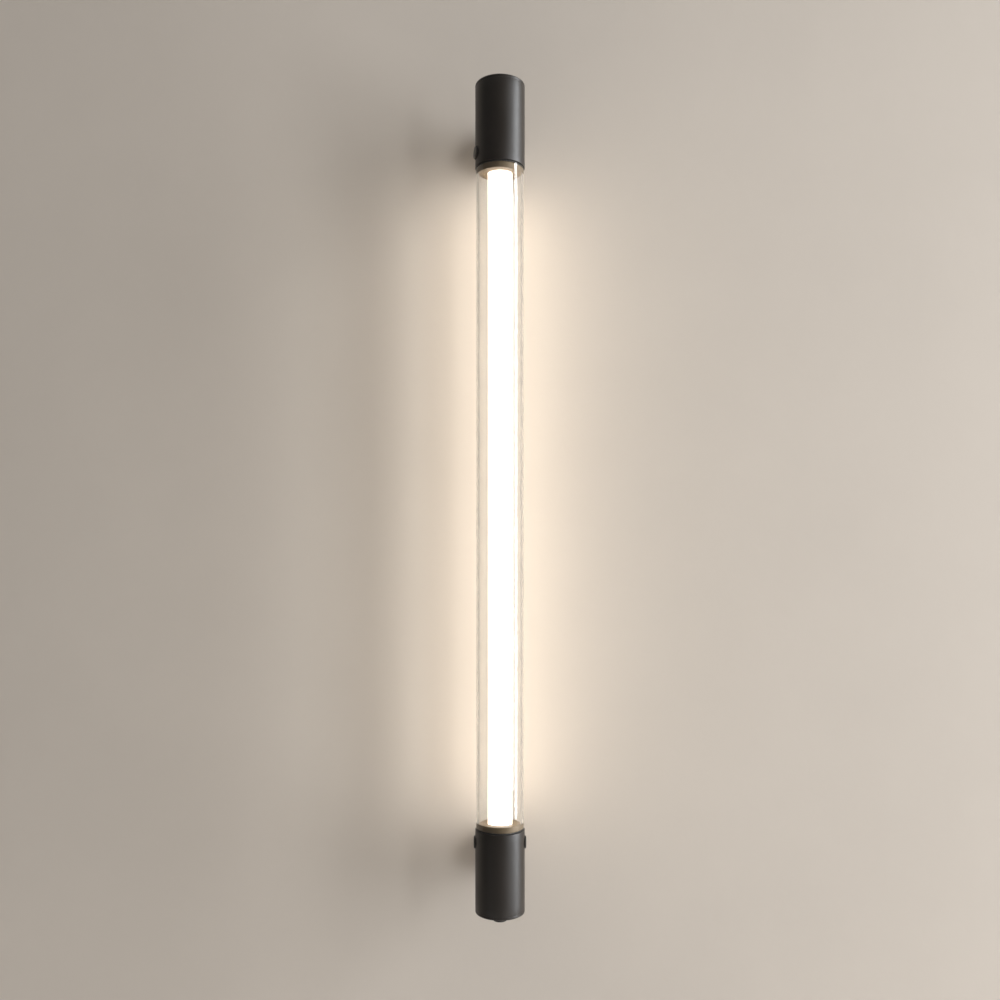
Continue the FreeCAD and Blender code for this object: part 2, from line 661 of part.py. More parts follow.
def through_lead():
    """The lead from the driver down through the bar to the switch in the bottom cap."""
    exit_point = Vector(LEAD_EXIT_OFFSET, -LEAD_EXIT_DEPTH, DRIVER_BASE)
    switch_top = CAP_OUTER_FACE - SWITCH_BODY_START - SWITCH_BODY_HEIGHT
    route = [
        exit_point,
        Vector(exit_point.x, exit_point.y, LEAD_FIRST_BEND),
        TUBE_AXIS + Vector(0, 0, LEAD_SECOND_BEND),
        TUBE_AXIS - Vector(0, 0, switch_top),
    ]
    return lead("through_lead", route, THROUGH_LEAD_DIA)


def led_feed_lead():
    """The lead from the driver to the top end of the front board."""
    exit_point = Vector(-LEAD_EXIT_OFFSET, -LEAD_EXIT_DEPTH, DRIVER_BASE)
    over_board = TUBE_AXIS + Vector(0, -FEED_OFFSET, 0)
    route = [
        exit_point,
        Vector(exit_point.x, exit_point.y, LEAD_FIRST_BEND),
        over_board + Vector(0, 0, LEAD_SECOND_BEND),
        over_board + Vector(0, 0, BOARD_END - FEED_LEAD_ON_BOARD),
    ]
    return lead("led_feed_lead", route, FEED_LEAD_DIA)


def export_all():
    os.makedirs("parts", exist_ok=True)
    for name, shape in parts.items():
        shape.exportStep("parts/" + name + ".step")


top_screws = [TOP_LEFT_ANGLE]
bottom_screws = [LEFT_ANGLE, RIGHT_ANGLE]

add("top_cap_shell", cap_shell(top_screws))
add("bottom_cap_shell", upside_down(cap_shell(bottom_screws)))
add("top_end_disc", end_disc())
add("bottom_end_disc", upside_down(end_disc().cut(switch_hole())))
add("top_collar", collar(top_screws))
add("bottom_collar", upside_down(collar(bottom_screws)))
add("top_gasket", gasket())
add("bottom_gasket", upside_down(gasket()))
add("glass_tube", glass_tube())
add("diffuser_tube", diffuser_tube())
add("top_diffuser_plug", diffuser_plug(True))
add("bottom_diffuser_plug", upside_down(diffuser_plug(False)))
add("led_bar", led_bar())
add("led_board_front", led_board(-1))
add("led_board_rear", led_board(1))
add("led_packages_front", led_packages(-1))
add("led_packages_rear", led_packages(1))

add("top_left_thumb_screw", thumb_screw(TOP_LEFT_ANGLE, SCREW_HEIGHT))
add("bottom_left_thumb_screw", thumb_screw(LEFT_ANGLE, -SCREW_HEIGHT))
add("bottom_right_thumb_screw", thumb_screw(RIGHT_ANGLE, -SCREW_HEIGHT))
add("top_left_thumb_washer", thumb_washer(TOP_LEFT_ANGLE, SCREW_HEIGHT))
add("bottom_left_thumb_washer", thumb_washer(LEFT_ANGLE, -SCREW_HEIGHT))
add("bottom_right_thumb_washer", thumb_washer(RIGHT_ANGLE, -SCREW_HEIGHT))

add("push_button", push_button())
add("button_spring", button_spring())
add("switch_body", switch_body())
add("switch_nut", switch_nut())

nut_seats = {"top": SADDLE_FLAT + SHEET, "bottom": SADDLE_FLAT}
for end, height in (("top", ARM_HEIGHT), ("bottom", -ARM_HEIGHT)):
    add(end + "_arm", arm(height))
    add(end + "_stay_pipe", stay_pipe(height))
    add(end + "_pipe_nuts", pipe_nuts(height, nut_seats[end]))
    add(end + "_saddle_washer", saddle_washer(height))
    add(end + "_wall_bracket", wall_bracket(height))
    add(end + "_wall_rose", wall_rose(height))
add("rose_screws", rose_screws())

add("driver_bracket", driver_bracket())
add("led_driver", led_driver())
add("driver_screws", driver_screws())
add("terminal_block", terminal_block())
add("through_lead", through_lead())
add("led_feed_lead", led_feed_lead())

export_all()
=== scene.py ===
"""Looks of the tube wall light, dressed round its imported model.

The tube's axis is upright, 70 mm in front of the wall plane y = 0. Sizes in the sub-assemblies are
in millimetres, and in the room, lamps and camera in metres. Each sub-assembly is a class that builds
its own meshes, each finish is a class that makes its own material, and main() puts them together.
"""

import json
import logging
import math
from contextlib import contextmanager
from dataclasses import dataclass
from enum import Enum
from typing import Callable, Iterator, NamedTuple, Sequence

import bmesh
import bpy
from mathutils import Matrix, Vector


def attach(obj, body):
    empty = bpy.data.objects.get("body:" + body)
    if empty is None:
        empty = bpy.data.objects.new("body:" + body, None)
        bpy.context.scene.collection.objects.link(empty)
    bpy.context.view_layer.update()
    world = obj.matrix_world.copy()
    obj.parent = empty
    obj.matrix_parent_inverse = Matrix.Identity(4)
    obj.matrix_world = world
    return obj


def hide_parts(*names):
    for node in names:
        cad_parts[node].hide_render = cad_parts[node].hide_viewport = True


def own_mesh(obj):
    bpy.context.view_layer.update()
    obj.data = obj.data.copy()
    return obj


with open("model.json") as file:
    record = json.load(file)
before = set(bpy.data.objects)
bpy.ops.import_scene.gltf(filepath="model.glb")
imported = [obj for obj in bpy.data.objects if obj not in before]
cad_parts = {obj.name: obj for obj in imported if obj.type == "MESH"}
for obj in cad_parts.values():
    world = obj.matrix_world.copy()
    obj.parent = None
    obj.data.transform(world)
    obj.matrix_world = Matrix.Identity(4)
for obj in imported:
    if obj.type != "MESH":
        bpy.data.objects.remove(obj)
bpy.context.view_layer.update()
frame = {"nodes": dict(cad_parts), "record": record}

LOG = logging.getLogger("tube_wall_light")

MM = 0.001
TO_METRES = Matrix.Scale(MM, 4)
AXIS_TO_WALL = 70.0
ARM_HEIGHT = 375.0
SCREW_HEIGHT = 346.6
CAP_RIM = 333.0
CAP_FACE = 417.0

SMOOTH_BELOW = math.radians(32)
FLAT_BELOW = math.radians(0.4)
MERGE_TURNED = 1e-5
MERGE_CAD = 2e-6
ON_AXIS = 1e-6

Mesh = bpy.types.Mesh
Object = bpy.types.Object
Material = bpy.types.Material
Node = bpy.types.Node
Socket = bpy.types.NodeSocket
Point = tuple[float, float]
Place = tuple[float, float, float]
Colour = tuple[float, float, float]
Value = Socket | float | tuple[float, ...]


# Frames and meshes -------------------------------------------------------------------------------

class End(Enum):
    """The two ends of the light, with the sign of their heights."""

    TOP = 1
    BOTTOM = -1

    @property
    def prefix(self) -> str:
        """The word that this end's node names start with."""
        return self.name.lower()


class Corner(NamedTuple):
    """A corner of a turned outline: radius and height in mm, and how far it is rounded."""

    r: float
    z: float
    rounding: float = 0.0


def axis_frame(end: End = End.TOP) -> Matrix:
    """The frame, from mm to metres, of the tube's axis with heights growing towards one end."""
    flip = Matrix.Diagonal((1, 1, end.value, 1))
    return Matrix.Translation((0, -AXIS_TO_WALL * MM, 0)) @ TO_METRES @ flip


def aimed(origin: Place, direction: Vector) -> Matrix:
    """A frame in mm at an origin, with its local Z along a direction."""
    return Matrix.Translation(origin) @ direction.to_track_quat("Z", "Y").to_matrix().to_4x4()


def outward(angle: float) -> Vector:
    """The level direction at an angle from +X, in degrees."""
    return Vector((math.cos(math.radians(angle)), math.sin(math.radians(angle)), 0))


def rounded(corners: Sequence[Corner], index: int, steps: int) -> list[Point]:
    """The points that stand for one corner of a closed outline.

    Args:
        corners: the corners in order round the outline.
        index: which corner.
        steps: pieces in a rounded corner.

    Returns:
        The points of its arc, or the corner itself where it isn't rounded.
    """
    corner = corners[index]
    here = Vector((corner.r, corner.z))
    if corner.rounding <= 0:
        return [(here.x, here.y)]
    before, after = corners[index - 1], corners[(index + 1) % len(corners)]
    back = (Vector((before.r, before.z)) - here).normalized()
    ahead = (Vector((after.r, after.z)) - here).normalized()
    half = back.angle(ahead) / 2
    trim = corner.rounding / math.tan(half)
    centre = here + (back + ahead).normalized() * (corner.rounding / math.sin(half))
    start = here + back * trim - centre
    sweep = start.angle_signed(here + ahead * trim - centre)
    arc = [centre + Matrix.Rotation(-sweep * step / steps, 2) @ start for step in range(steps + 1)]
    return [(point.x, point.y) for point in arc]


def outline(corners: Sequence[Corner], steps: int, longest: float) -> list[Point]:
    """Rounds the corners of a closed outline and divides its long runs.

    Args:
        corners: the corners in order round the outline.
        steps: pieces in each rounded corner.
        longest: the longest run left undivided, in mm.

    Returns:
        The points of the outline.
    """
    points = [point for index in range(len(corners)) for point in rounded(corners, index, steps)]
    divided: list[Point] = []
    for point, following in zip(points, points[1:] + points[:1]):
        on_axis = max(point[0], following[0]) <= ON_AXIS
        parts = 1 if on_axis else max(1, math.ceil(math.dist(point, following) / longest))
        for part in range(parts):
            share = part / parts
            divided.append(tuple(a + (b - a) * share for a, b in zip(point, following)))
    return divided


@contextmanager
def edited(mesh: Mesh) -> Iterator[bmesh.types.BMesh]:
    """Opens a mesh for editing and writes it back.

    Args:
        mesh: the mesh.

    Yields:
        The editable shape.
    """
    shape = bmesh.new()
    shape.from_mesh(mesh)
    yield shape
    shape.to_mesh(mesh)
    shape.free()


def turned(corners: Sequence[Corner], segments: int = 128, steps: int = 5, longest: float = 8.0) -> Mesh:
    """A closed solid of revolution about local Z, in mm.

    Args:
        corners: its outline, a closed loop at one side of the axis.
        segments: divisions round the axis.
        steps: pieces in each rounded corner.
        longest: the longest run along the outline left undivided.

    Returns:
        The new mesh.
    """
    spots: list[Place] = []
    rings: list[list[int]] = []
    for radius, height in outline(corners, steps, longest):
        if radius < ON_AXIS:
            rings.append([len(spots)])
            spots.append((0.0, 0.0, height))
            continue
        rings.append(list(range(len(spots), len(spots) + segments)))
        for step in range(segments):
            angle = 2 * math.pi * step / segments
            spots.append((radius * math.cos(angle), radius * math.sin(angle), height))
    faces: list[tuple[int, ...]] = []
    for ring, following in zip(rings, rings[1:] + rings[:1]):
        if len(ring) == len(following) == 1:
            continue
        for step in range(segments):
            ahead = (step + 1) % segments
            if len(ring) == 1:
                faces.append((ring[0], following[step], following[ahead]))
            elif len(following) == 1:
                faces.append((ring[step], following[0], ring[ahead]))
            else:
                faces.append((ring[step], following[step], following[ahead], ring[ahead]))
    mesh = bpy.data.meshes.new("turned")
    mesh.from_pydata(spots, [], faces)
    with edited(mesh) as shape:
        bmesh.ops.remove_doubles(shape, verts=shape.verts, dist=MERGE_TURNED)
        bmesh.ops.recalc_face_normals(shape, faces=shape.faces)
    return mesh


def ring(inner: float, outer: float, low: float, high: float,
         inner_rounding: float = 0.0, outer_rounding: float = 0.0) -> tuple[Corner, ...]:
    """The outline of a plain ring or tube, with its inner and its outer edges rounded alike."""
    inside, outside = Corner(inner, low, inner_rounding), Corner(outer, low, outer_rounding)
    return inside, outside, outside._replace(z=high), inside._replace(z=high)


def rod(radius: float, start: float, end: float, segments: int = 64) -> Mesh:
    """A plain round cutter or boss about local Z, in mm, or a hexagonal one of 6 segments."""
    return turned(ring(0, radius, start, end), segments, longest=end - start)


def placed(mesh: Mesh, place: Matrix) -> Mesh:
    """Moves a mesh, and keeps its faces outwards where the matrix mirrors it.

    Args:
        mesh: the mesh.
        place: the matrix.

    Returns:
        The same mesh.
    """
    mesh.transform(place)
    if place.determinant() < 0:
        mesh.flip_normals()
    return mesh


def joined(meshes: Sequence[Mesh]) -> Mesh:
    """Puts several meshes into one, each still its own shell.

    Args:
        meshes: the meshes.

    Returns:
        The new mesh.
    """
    whole = bpy.data.meshes.new("joined")
    with edited(whole) as shape:
        for mesh in meshes:
            shape.from_mesh(mesh)
    return whole


def smoothed(mesh: Mesh) -> None:
    """Shades a mesh smooth, apart from its sharp edges."""
    mesh.shade_smooth()
    mesh.set_sharp_from_angle(angle=SMOOTH_BELOW)


def shown(name: str, data: bpy.types.ID) -> Object:
    """Puts a new object in the scene.

    Args:
        name: its name.
        data: its mesh, light or camera.

    Returns:
        The object.
    """
    thing = bpy.data.objects.new(name, data)
    bpy.context.scene.collection.objects.link(thing)
    return thing


def with_modifiers(mesh: Mesh, prepare: Callable[[Object], None]) -> Mesh:
    """Runs modifiers on a mesh and gives back the plain result.

    Args:
        mesh: the mesh to start from.
        prepare: adds the modifiers to the object that it is given.

    Returns:
        The resulting mesh, with no modifier left.
    """
    holder = shown("holder", mesh)
    prepare(holder)
    bpy.context.view_layer.update()
    depsgraph = bpy.context.evaluated_depsgraph_get()
    result = bpy.data.meshes.new_from_object(holder.evaluated_get(depsgraph))
    bpy.data.objects.remove(holder)
    return result


class Boolean(Enum):
    """What is done with the other meshes."""

    CUT = "DIFFERENCE"
    JOIN = "UNION"


def combined(mesh: Mesh, operation: Boolean, others: Sequence[Mesh]) -> Mesh:
    """A mesh with others cut away from it or joined to it.

    Args:
        mesh: the piece that stays.
        operation: what is done.
        others: the cutters, or the lumps to add.

    Returns:
        The new mesh.
    """
    helpers = [shown("helper", other) for other in others]

    def prepare(holder: Object) -> None:
        """Adds one boolean for each helper.

        Args:
            holder: the object that holds the mesh.
        """
        for helper in helpers:
            step = holder.modifiers.new("combine", "BOOLEAN")
            step.operation = operation.value
            step.solver = "EXACT"
            step.object = helper

    result = with_modifiers(mesh, prepare)
    for helper in helpers:
        bpy.data.objects.remove(helper)
    return result


def merged_copy(node: str) -> Mesh:
    """Copies a CAD node's mesh and merges its triangles, ready for smooth shading.

    Args:
        node: the CAD node.

    Returns:
        The new mesh, with no material.
    """
    mesh = frame["nodes"][node].data.copy()
    with edited(mesh) as shape:
        bmesh.ops.remove_doubles(shape, verts=shape.verts, dist=MERGE_CAD)
        bmesh.ops.dissolve_limit(shape, angle_limit=FLAT_BELOW, verts=shape.verts, edges=shape.edges,
                                 use_dissolve_boundaries=False)
    mesh.materials.clear()
    return mesh


# Node trees --------------------------------------------------------------------------------------

class Sheet:
    """A node tree being drawn up: short calls that add nodes and join sockets."""

    def __init__(self, tree: bpy.types.NodeTree) -> None:
        """Starts on the tree of a material, group, world or geometry."""
        self.tree = tree

    def put(self, node: Node, name: str | int, value: Value) -> None:
        """Sets or links one input of a node.

        Args:
            node: the node.
            name: the input's name or number.
            value: a socket to link, or a value.
        """
        socket = node.inputs[name]
        if isinstance(value, Socket):
            self.tree.links.new(value, socket)
        else:
            socket.default_value = (*value, 1.0) if socket.type == "RGBA" else value

    def fill(self, node: Node, **inputs: Value) -> None:
        """Sets or links inputs of a node by name, with _ for a space."""
        for name, value in inputs.items():
            self.put(node, name.replace("_", " "), value)

    def row(self, node: Node, *values: Value) -> Socket:
        """Sets or links a node's first inputs in order.

        Args:
            node: the node.
            *values: sockets or values for the inputs.

        Returns:
            The node's first output.
        """
        for index, value in enumerate(values):
            self.put(node, index, value)
        return node.outputs[0]

    def add(self, kind: str, settings: dict[str, object] | None = None, **inputs: Value) -> Node:
        """Adds a node.

        Args:
            kind: the node's type name.
            settings: its own properties.
            **inputs: sockets or values for its inputs, by name with _ for a space.

        Returns:
            The node.
        """
        node = self.tree.nodes.new(kind)
        for name, value in (settings or {}).items():
            setattr(node, name, value)
        self.fill(node, **inputs)
        return node

    def math(self, operation: str, *values: Value) -> Socket:
        """A Math node's result."""
        return self.row(self.add("ShaderNodeMath", {"operation": operation}), *values)

    def span(self, value: Value, low: float, high: float,
             to_low: float = 0.0, to_high: float = 1.0) -> Socket:
        """A value carried smoothly from one range to another and held at its ends."""
        node = self.add("ShaderNodeMapRange", {"interpolation_type": "SMOOTHSTEP"})
        return self.row(node, value, low, high, to_low, to_high)

    def blend(self, share: Value, first: Value, second: Value) -> Socket:
        """Two colours mixed.

        Args:
            share: how much of the second.
            first: a colour or socket.
            second: a colour or socket.

        Returns:
            The output colour socket.
        """
        node = self.add("ShaderNodeMix", {"data_type": "RGBA"})
        for index, value in ((0, share), (6, first), (7, second)):
            self.put(node, index, value)
        return node.outputs[2]

    def cross(self, share: Value, first: Node, second: Node) -> Socket:
        """Two shaders mixed, by how much of the second there is."""
        return self.row(self.add("ShaderNodeMixShader"), share, first.outputs[0], second.outputs[0])

    def place(self) -> Socket:
        """The Object coordinates."""
        return self.add("ShaderNodeTexCoord").outputs["Object"]

    def parts(self, vector: Socket) -> Sequence[Socket]:
        """The three parts of a vector."""
        return self.add("ShaderNodeSeparateXYZ", Vector=vector).outputs

    def upright(self, height: Value) -> Socket:
        """A vector that points up by a height."""
        return self.add("ShaderNodeCombineXYZ", Z=height).outputs[0]

    def noise(self, scale: Value, place: Socket | None = None, **inputs: Value) -> Socket:
        """Noise on Object coordinates, or on a place of its own."""
        return self.add("ShaderNodeTexNoise", Vector=place or self.place(), Scale=scale, **inputs).outputs[0]

    def bump(self, height: Socket, depth: float, strength: float = 1.0, **inputs: Value) -> Socket:
        """A normal bent by a height, with its depth in metres."""
        node = self.add("ShaderNodeBump", Height=height, Distance=depth, Strength=strength, **inputs)
        return node.outputs[0]


Given = dict[str, Socket]


class Effect(Enum):
    """The shared shader effects, each built once as a node group."""

    GRAIN = "fine grain"
    TURNING = "turning marks"
    # Rounded edges painted lighter: partly rubbed wear, partly a painted highlight that the edges catch.
    WEAR = "edge wear"
    DUST = "settled dust"


class Effects:
    """Builds the shared shader groups and hands them out."""

    CLOUD_RANGE = (0.3, 0.7)
    STREAK_RANGE = (0.35, 0.65)
    EDGE_RANGE = (0.995, 0.86)
    UPWARD_RANGE = (0.55, 0.98)
    SPECK_RANGE = (0.4, 0.7)
    SPECK_SCALE = 420.0
    WEAR_SCALE = 260.0
    LEAST_EDGE_HIGHLIGHT = 0.35
    LEAST_DUST = 0.2

    def __init__(self) -> None:
        """Builds every group."""
        recipes = {
            Effect.GRAIN: (self._grain, {"Grain Scale": 2400.0, "Cloud Scale": 22.0}),
            Effect.TURNING: (self._turning, {"Pitch Scale": 900.0}),
            Effect.WEAR: (self._wear, {"Radius": 0.0006, "Amount": 1.0}),
            Effect.DUST: (self._dust, {"Amount": 0.1}),
        }
        self.groups = {effect: self._group(effect, *recipe) for effect, recipe in recipes.items()}

    @staticmethod
    def _group(effect: Effect, draw: Callable[[Sheet, Given], Given],
               inputs: dict[str, float]) -> bpy.types.NodeTree:
        """Builds one group with number sockets.

        Args:
            effect: which one.
            draw: adds its nodes, and gives a socket for each named output.
            inputs: each input with its default.

        Returns:
            The group.
        """
        tree = bpy.data.node_groups.new(effect.value, "ShaderNodeTree")
        for title, value in inputs.items():
            socket = tree.interface.new_socket(title, in_out="INPUT", socket_type="NodeSocketFloat")
            socket.default_value = value
        sheet = Sheet(tree)
        results = draw(sheet, sheet.add("NodeGroupInput").outputs)
        for title in results:
            tree.interface.new_socket(title, in_out="OUTPUT", socket_type="NodeSocketFloat")
        sheet.add("NodeGroupOutput", **results)
        return tree

    def _grain(self, sheet: Sheet, given: Given) -> Given:
        """A fine even grain over broad, faint clouds, as on a sprayed or moulded surface."""
        clouds = sheet.span(sheet.noise(given["Cloud Scale"], Detail=2.0, Roughness=0.5), *self.CLOUD_RANGE)
        return {"Height": sheet.noise(given["Grain Scale"], Detail=3.0, Roughness=0.55), "Clouds": clouds}

    def _turning(self, sheet: Sheet, given: Given) -> Given:
        """Draws the fine rings left by a lathe tool, round the tube's axis on sides and faces alike.

        Args:
            sheet: the group's sheet.
            given: its inputs.

        Returns:
            Its outputs.
        """
        centred = sheet.add("ShaderNodeMapping", Vector=sheet.place(), Location=(0.0, AXIS_TO_WALL * MM, 0.0))
        x, y, z = sheet.parts(centred.outputs[0])
        squares = sheet.math("ADD", sheet.math("POWER", x, 2.0), sheet.math("POWER", y, 2.0))
        along = sheet.math("ADD", z, sheet.math("SQRT", squares))
        spot = sheet.add("ShaderNodeCombineXYZ", X=along).outputs[0]
        rings = sheet.noise(given["Pitch Scale"], spot, Detail=4.0)
        return {"Height": rings, "Streak": sheet.span(rings, *self.STREAK_RANGE)}

    def _wear(self, sheet: Sheet, given: Given) -> Given:
        """Draws a mask that is 1 on rounded outer edges, broken up a little; the finishes paint these edges
        lighter, partly as rubbed wear and partly as a painted highlight on the rounded edges.

        Args:
            sheet: the group's sheet.
            given: its inputs.

        Returns:
            Its outputs.
        """
        bent = sheet.add("ShaderNodeBevel", {"samples": 4}, Radius=given["Radius"]).outputs[0]
        true = sheet.add("ShaderNodeNewGeometry").outputs["Normal"]
        facing = sheet.add("ShaderNodeVectorMath", {"operation": "DOT_PRODUCT"})
        sheet.row(facing, bent, true)
        edge = sheet.span(facing.outputs["Value"], *self.EDGE_RANGE)
        broken = sheet.noise(self.WEAR_SCALE, Detail=3.0)
        share = sheet.span(broken, *self.STREAK_RANGE, self.LEAST_EDGE_HIGHLIGHT, 1.0)
        return {"Mask": sheet.math("MULTIPLY", sheet.math("MULTIPLY", edge, share), given["Amount"])}

    def _dust(self, sheet: Sheet, given: Given) -> Given:
        """Draws a mask of thin dust on what faces up.

        Args:
            sheet: the group's sheet.
            given: its inputs.

        Returns:
            Its outputs.
        """
        normal = sheet.add("ShaderNodeNewGeometry").outputs["Normal"]
        upward = sheet.span(sheet.parts(normal)[2], *self.UPWARD_RANGE)
        specks = sheet.noise(self.SPECK_SCALE, Detail=5.0, Roughness=0.7)
        share = sheet.span(specks, *self.SPECK_RANGE, self.LEAST_DUST, 1.0)
        return {"Mask": sheet.math("MULTIPLY", sheet.math("MULTIPLY", upward, share), given["Amount"])}

    def use(self, sheet: Sheet, effect: Effect, **inputs: float) -> Given:
        """Places a group in a material with its own values, and gives its outputs."""
        return sheet.add("ShaderNodeGroup", {"node_tree": self.groups[effect]}, **inputs).outputs


# Finishes ----------------------------------------------------------------------------------------

def new_material(name: str) -> tuple[Material, Sheet, Node]:
    """Starts a material with a Principled shader.

    Args:
        name: the material's name.

    Returns:
        The material, its sheet and the shader, which isn't joined to an output yet.
    """
    material = bpy.data.materials.new(name)
    material.use_nodes = True
    material.node_tree.nodes.clear()
    sheet = Sheet(material.node_tree)
    return material, sheet, sheet.add("ShaderNodeBsdfPrincipled")


def shaded(colour: Colour, share: float) -> Colour:
    """A colour made darker."""
    return tuple(part * share for part in colour)


@dataclass(frozen=True)
class SurfaceFinish:
    """A solid finish: a colour with faint clouds, a fine grain, lighter edges that are partly rubbed wear and
    partly a painted edge highlight, and some dust.
    """

    name: str
    colour: Colour
    second: Colour
    roughness: float
    metallic: float = 0.0
    grain_scale: float = 2400.0
    grain_depth: float = 0.00001
    roughness_spread: float = 0.05
    worn: Colour | None = None
    wear: float = 0.0
    dust: float = 0.0
    dust_colour: Colour = (0.42, 0.39, 0.35)
    dust_roughness: float = 0.4
    turned: bool = False
    streak_roughness: float = 0.08

    def make(self, effects: Effects) -> Material:
        """Builds the material.

        Args:
            effects: the shared shader groups.

        Returns:
            The material.
        """
        material, sheet, shader = new_material(self.name)
        grain = effects.use(sheet, Effect.GRAIN, Grain_Scale=self.grain_scale)
        colour = sheet.blend(grain["Clouds"], self.colour, self.second)
        low, high = self.roughness - self.roughness_spread, self.roughness + self.roughness_spread
        rough = sheet.span(grain["Clouds"], 0.0, 1.0, low, high)
        height = grain["Height"]
        if self.turned:
            marks = effects.use(sheet, Effect.TURNING)
            height = marks["Height"]
            rough = sheet.math("ADD", rough, sheet.math("MULTIPLY", marks["Streak"], self.streak_roughness))
        # Rounded edges painted lighter: partly rubbed wear, partly a painted highlight that the edges catch.
        if self.worn is not None:
            worn = effects.use(sheet, Effect.WEAR, Amount=self.wear)
            colour = sheet.blend(worn["Mask"], colour, self.worn)
        if self.dust > 0:
            settled = effects.use(sheet, Effect.DUST, Amount=self.dust)
            colour = sheet.blend(settled["Mask"], colour, self.dust_colour)
            rough = sheet.math("ADD", rough, sheet.math("MULTIPLY", settled["Mask"], self.dust_roughness))
        normal = sheet.bump(height, self.grain_depth)
        sheet.fill(shader, Base_Color=colour, Roughness=rough, Metallic=self.metallic, Normal=normal)
        sheet.add("ShaderNodeOutputMaterial", Surface=shader.outputs[0])
        return material


@dataclass(frozen=True)
class GlassFinish:
    """Clear glass that lets the lamp's light through to the wall."""

    name: str = "clear glass"
    tint: Colour = (0.985, 0.99, 0.985)
    shadow_tint: Colour = (0.96, 0.965, 0.96)
    ior: float = 1.5

    def make(self, effects: Effects) -> Material:
        """Builds the material.

        Args:
            effects: the shared shader groups, which clear glass doesn't need.

        Returns:
            The material.
        """
        material, sheet, shader = new_material(self.name)
        sheet.fill(shader, Base_Color=self.tint, Roughness=0.0, Metallic=0.0, IOR=self.ior,
                   Transmission_Weight=1.0)
        clear = sheet.add("ShaderNodeBsdfTransparent", Color=self.shadow_tint)
        path = sheet.add("ShaderNodeLightPath").outputs
        through = sheet.math("MAXIMUM", path["Is Shadow Ray"], path["Is Diffuse Ray"])
        sheet.add("ShaderNodeOutputMaterial", Surface=sheet.cross(through, shader, clear))
        return material


@dataclass(frozen=True)
class LitOpalFinish:
    """Opal plastic lit from inside: it lights the wall more than it shows, and more near its ends."""

    name: str = "lit opal"
    body: Colour = (0.93, 0.92, 0.89)
    light: Colour = (1.0, 0.88, 0.75)
    shade: float = 0.97
    strength: float = 6.35
    end_gain: float = 1.5
    end_from: float = 0.24
    end_to: float = 0.32
    seen_share: float = 0.26
    roughness: float = 0.45
    grain_scale: float = 1800.0
    grain_depth: float = 0.000008
    cloud_scale: float = 9.0

    def make(self, effects: Effects) -> Material:
        """Builds the material.

        Args:
            effects: the shared shader groups.

        Returns:
            The material.
        """
        material, sheet, shader = new_material(self.name)
        grain = effects.use(sheet, Effect.GRAIN, Grain_Scale=self.grain_scale, Cloud_Scale=self.cloud_scale)
        glow = sheet.blend(grain["Clouds"], shaded(self.light, self.shade), self.light)
        height = sheet.math("ABSOLUTE", sheet.parts(sheet.place())[2])
        near_end = sheet.span(height, self.end_from, self.end_to, 1.0, self.end_gain)
        path = sheet.add("ShaderNodeLightPath").outputs
        mirrored = sheet.math("MAXIMUM", path["Is Glossy Ray"], path["Is Transmission Ray"])
        seen = sheet.math("MAXIMUM", path["Is Camera Ray"], mirrored)
        share = sheet.span(seen, 0.0, 1.0, 1.0, self.seen_share)
        gain = sheet.add("ShaderNodeVectorMath", {"operation": "SCALE"},
                         Scale=sheet.math("MULTIPLY", near_end, share))
        sheet.fill(shader, Base_Color=self.body, Roughness=self.roughness,
                   Emission_Color=sheet.row(gain, glow), Emission_Strength=self.strength,
                   Normal=sheet.bump(grain["Height"], self.grain_depth))
        sheet.add("ShaderNodeOutputMaterial", Surface=shader.outputs[0])
        return material


# The lighter edge colours below are partly rubbed finish and partly a painted highlight on the rounded rims.
CAP_COATING = SurfaceFinish(
    "satin bronze coating", (0.0158, 0.0115, 0.0080), (0.0185, 0.0135, 0.0096), 0.40,
    grain_scale=3200.0, grain_depth=0.000006, roughness_spread=0.02,
    worn=(0.05, 0.042, 0.034), wear=0.55, dust=0.05)
SCREW_COATING = SurfaceFinish(
    "satin bronze screws", (0.018, 0.0155, 0.013), (0.022, 0.019, 0.0155), 0.36,
    grain_scale=3600.0, grain_depth=0.000004, roughness_spread=0.03,
    worn=(0.07, 0.058, 0.046), wear=0.7, dust=0.04)
COLLAR_METAL = SurfaceFinish(
    "turned bronze collar", (0.130, 0.090, 0.048), (0.148, 0.103, 0.057), 0.42, metallic=0.25,
    grain_depth=0.000012, turned=True)
ALUMINIUM = SurfaceFinish(
    "extruded aluminium", (0.72, 0.73, 0.75), (0.8, 0.81, 0.82), 0.34, metallic=1.0,
    grain_scale=900.0, roughness_spread=0.08)
BRIGHT_ZINC = SurfaceFinish(
    "bright zinc", (0.52, 0.53, 0.55), (0.66, 0.67, 0.68), 0.3, metallic=1.0,
    grain_scale=700.0, grain_depth=0.00002, roughness_spread=0.1, worn=(0.8, 0.8, 0.8), wear=0.5)

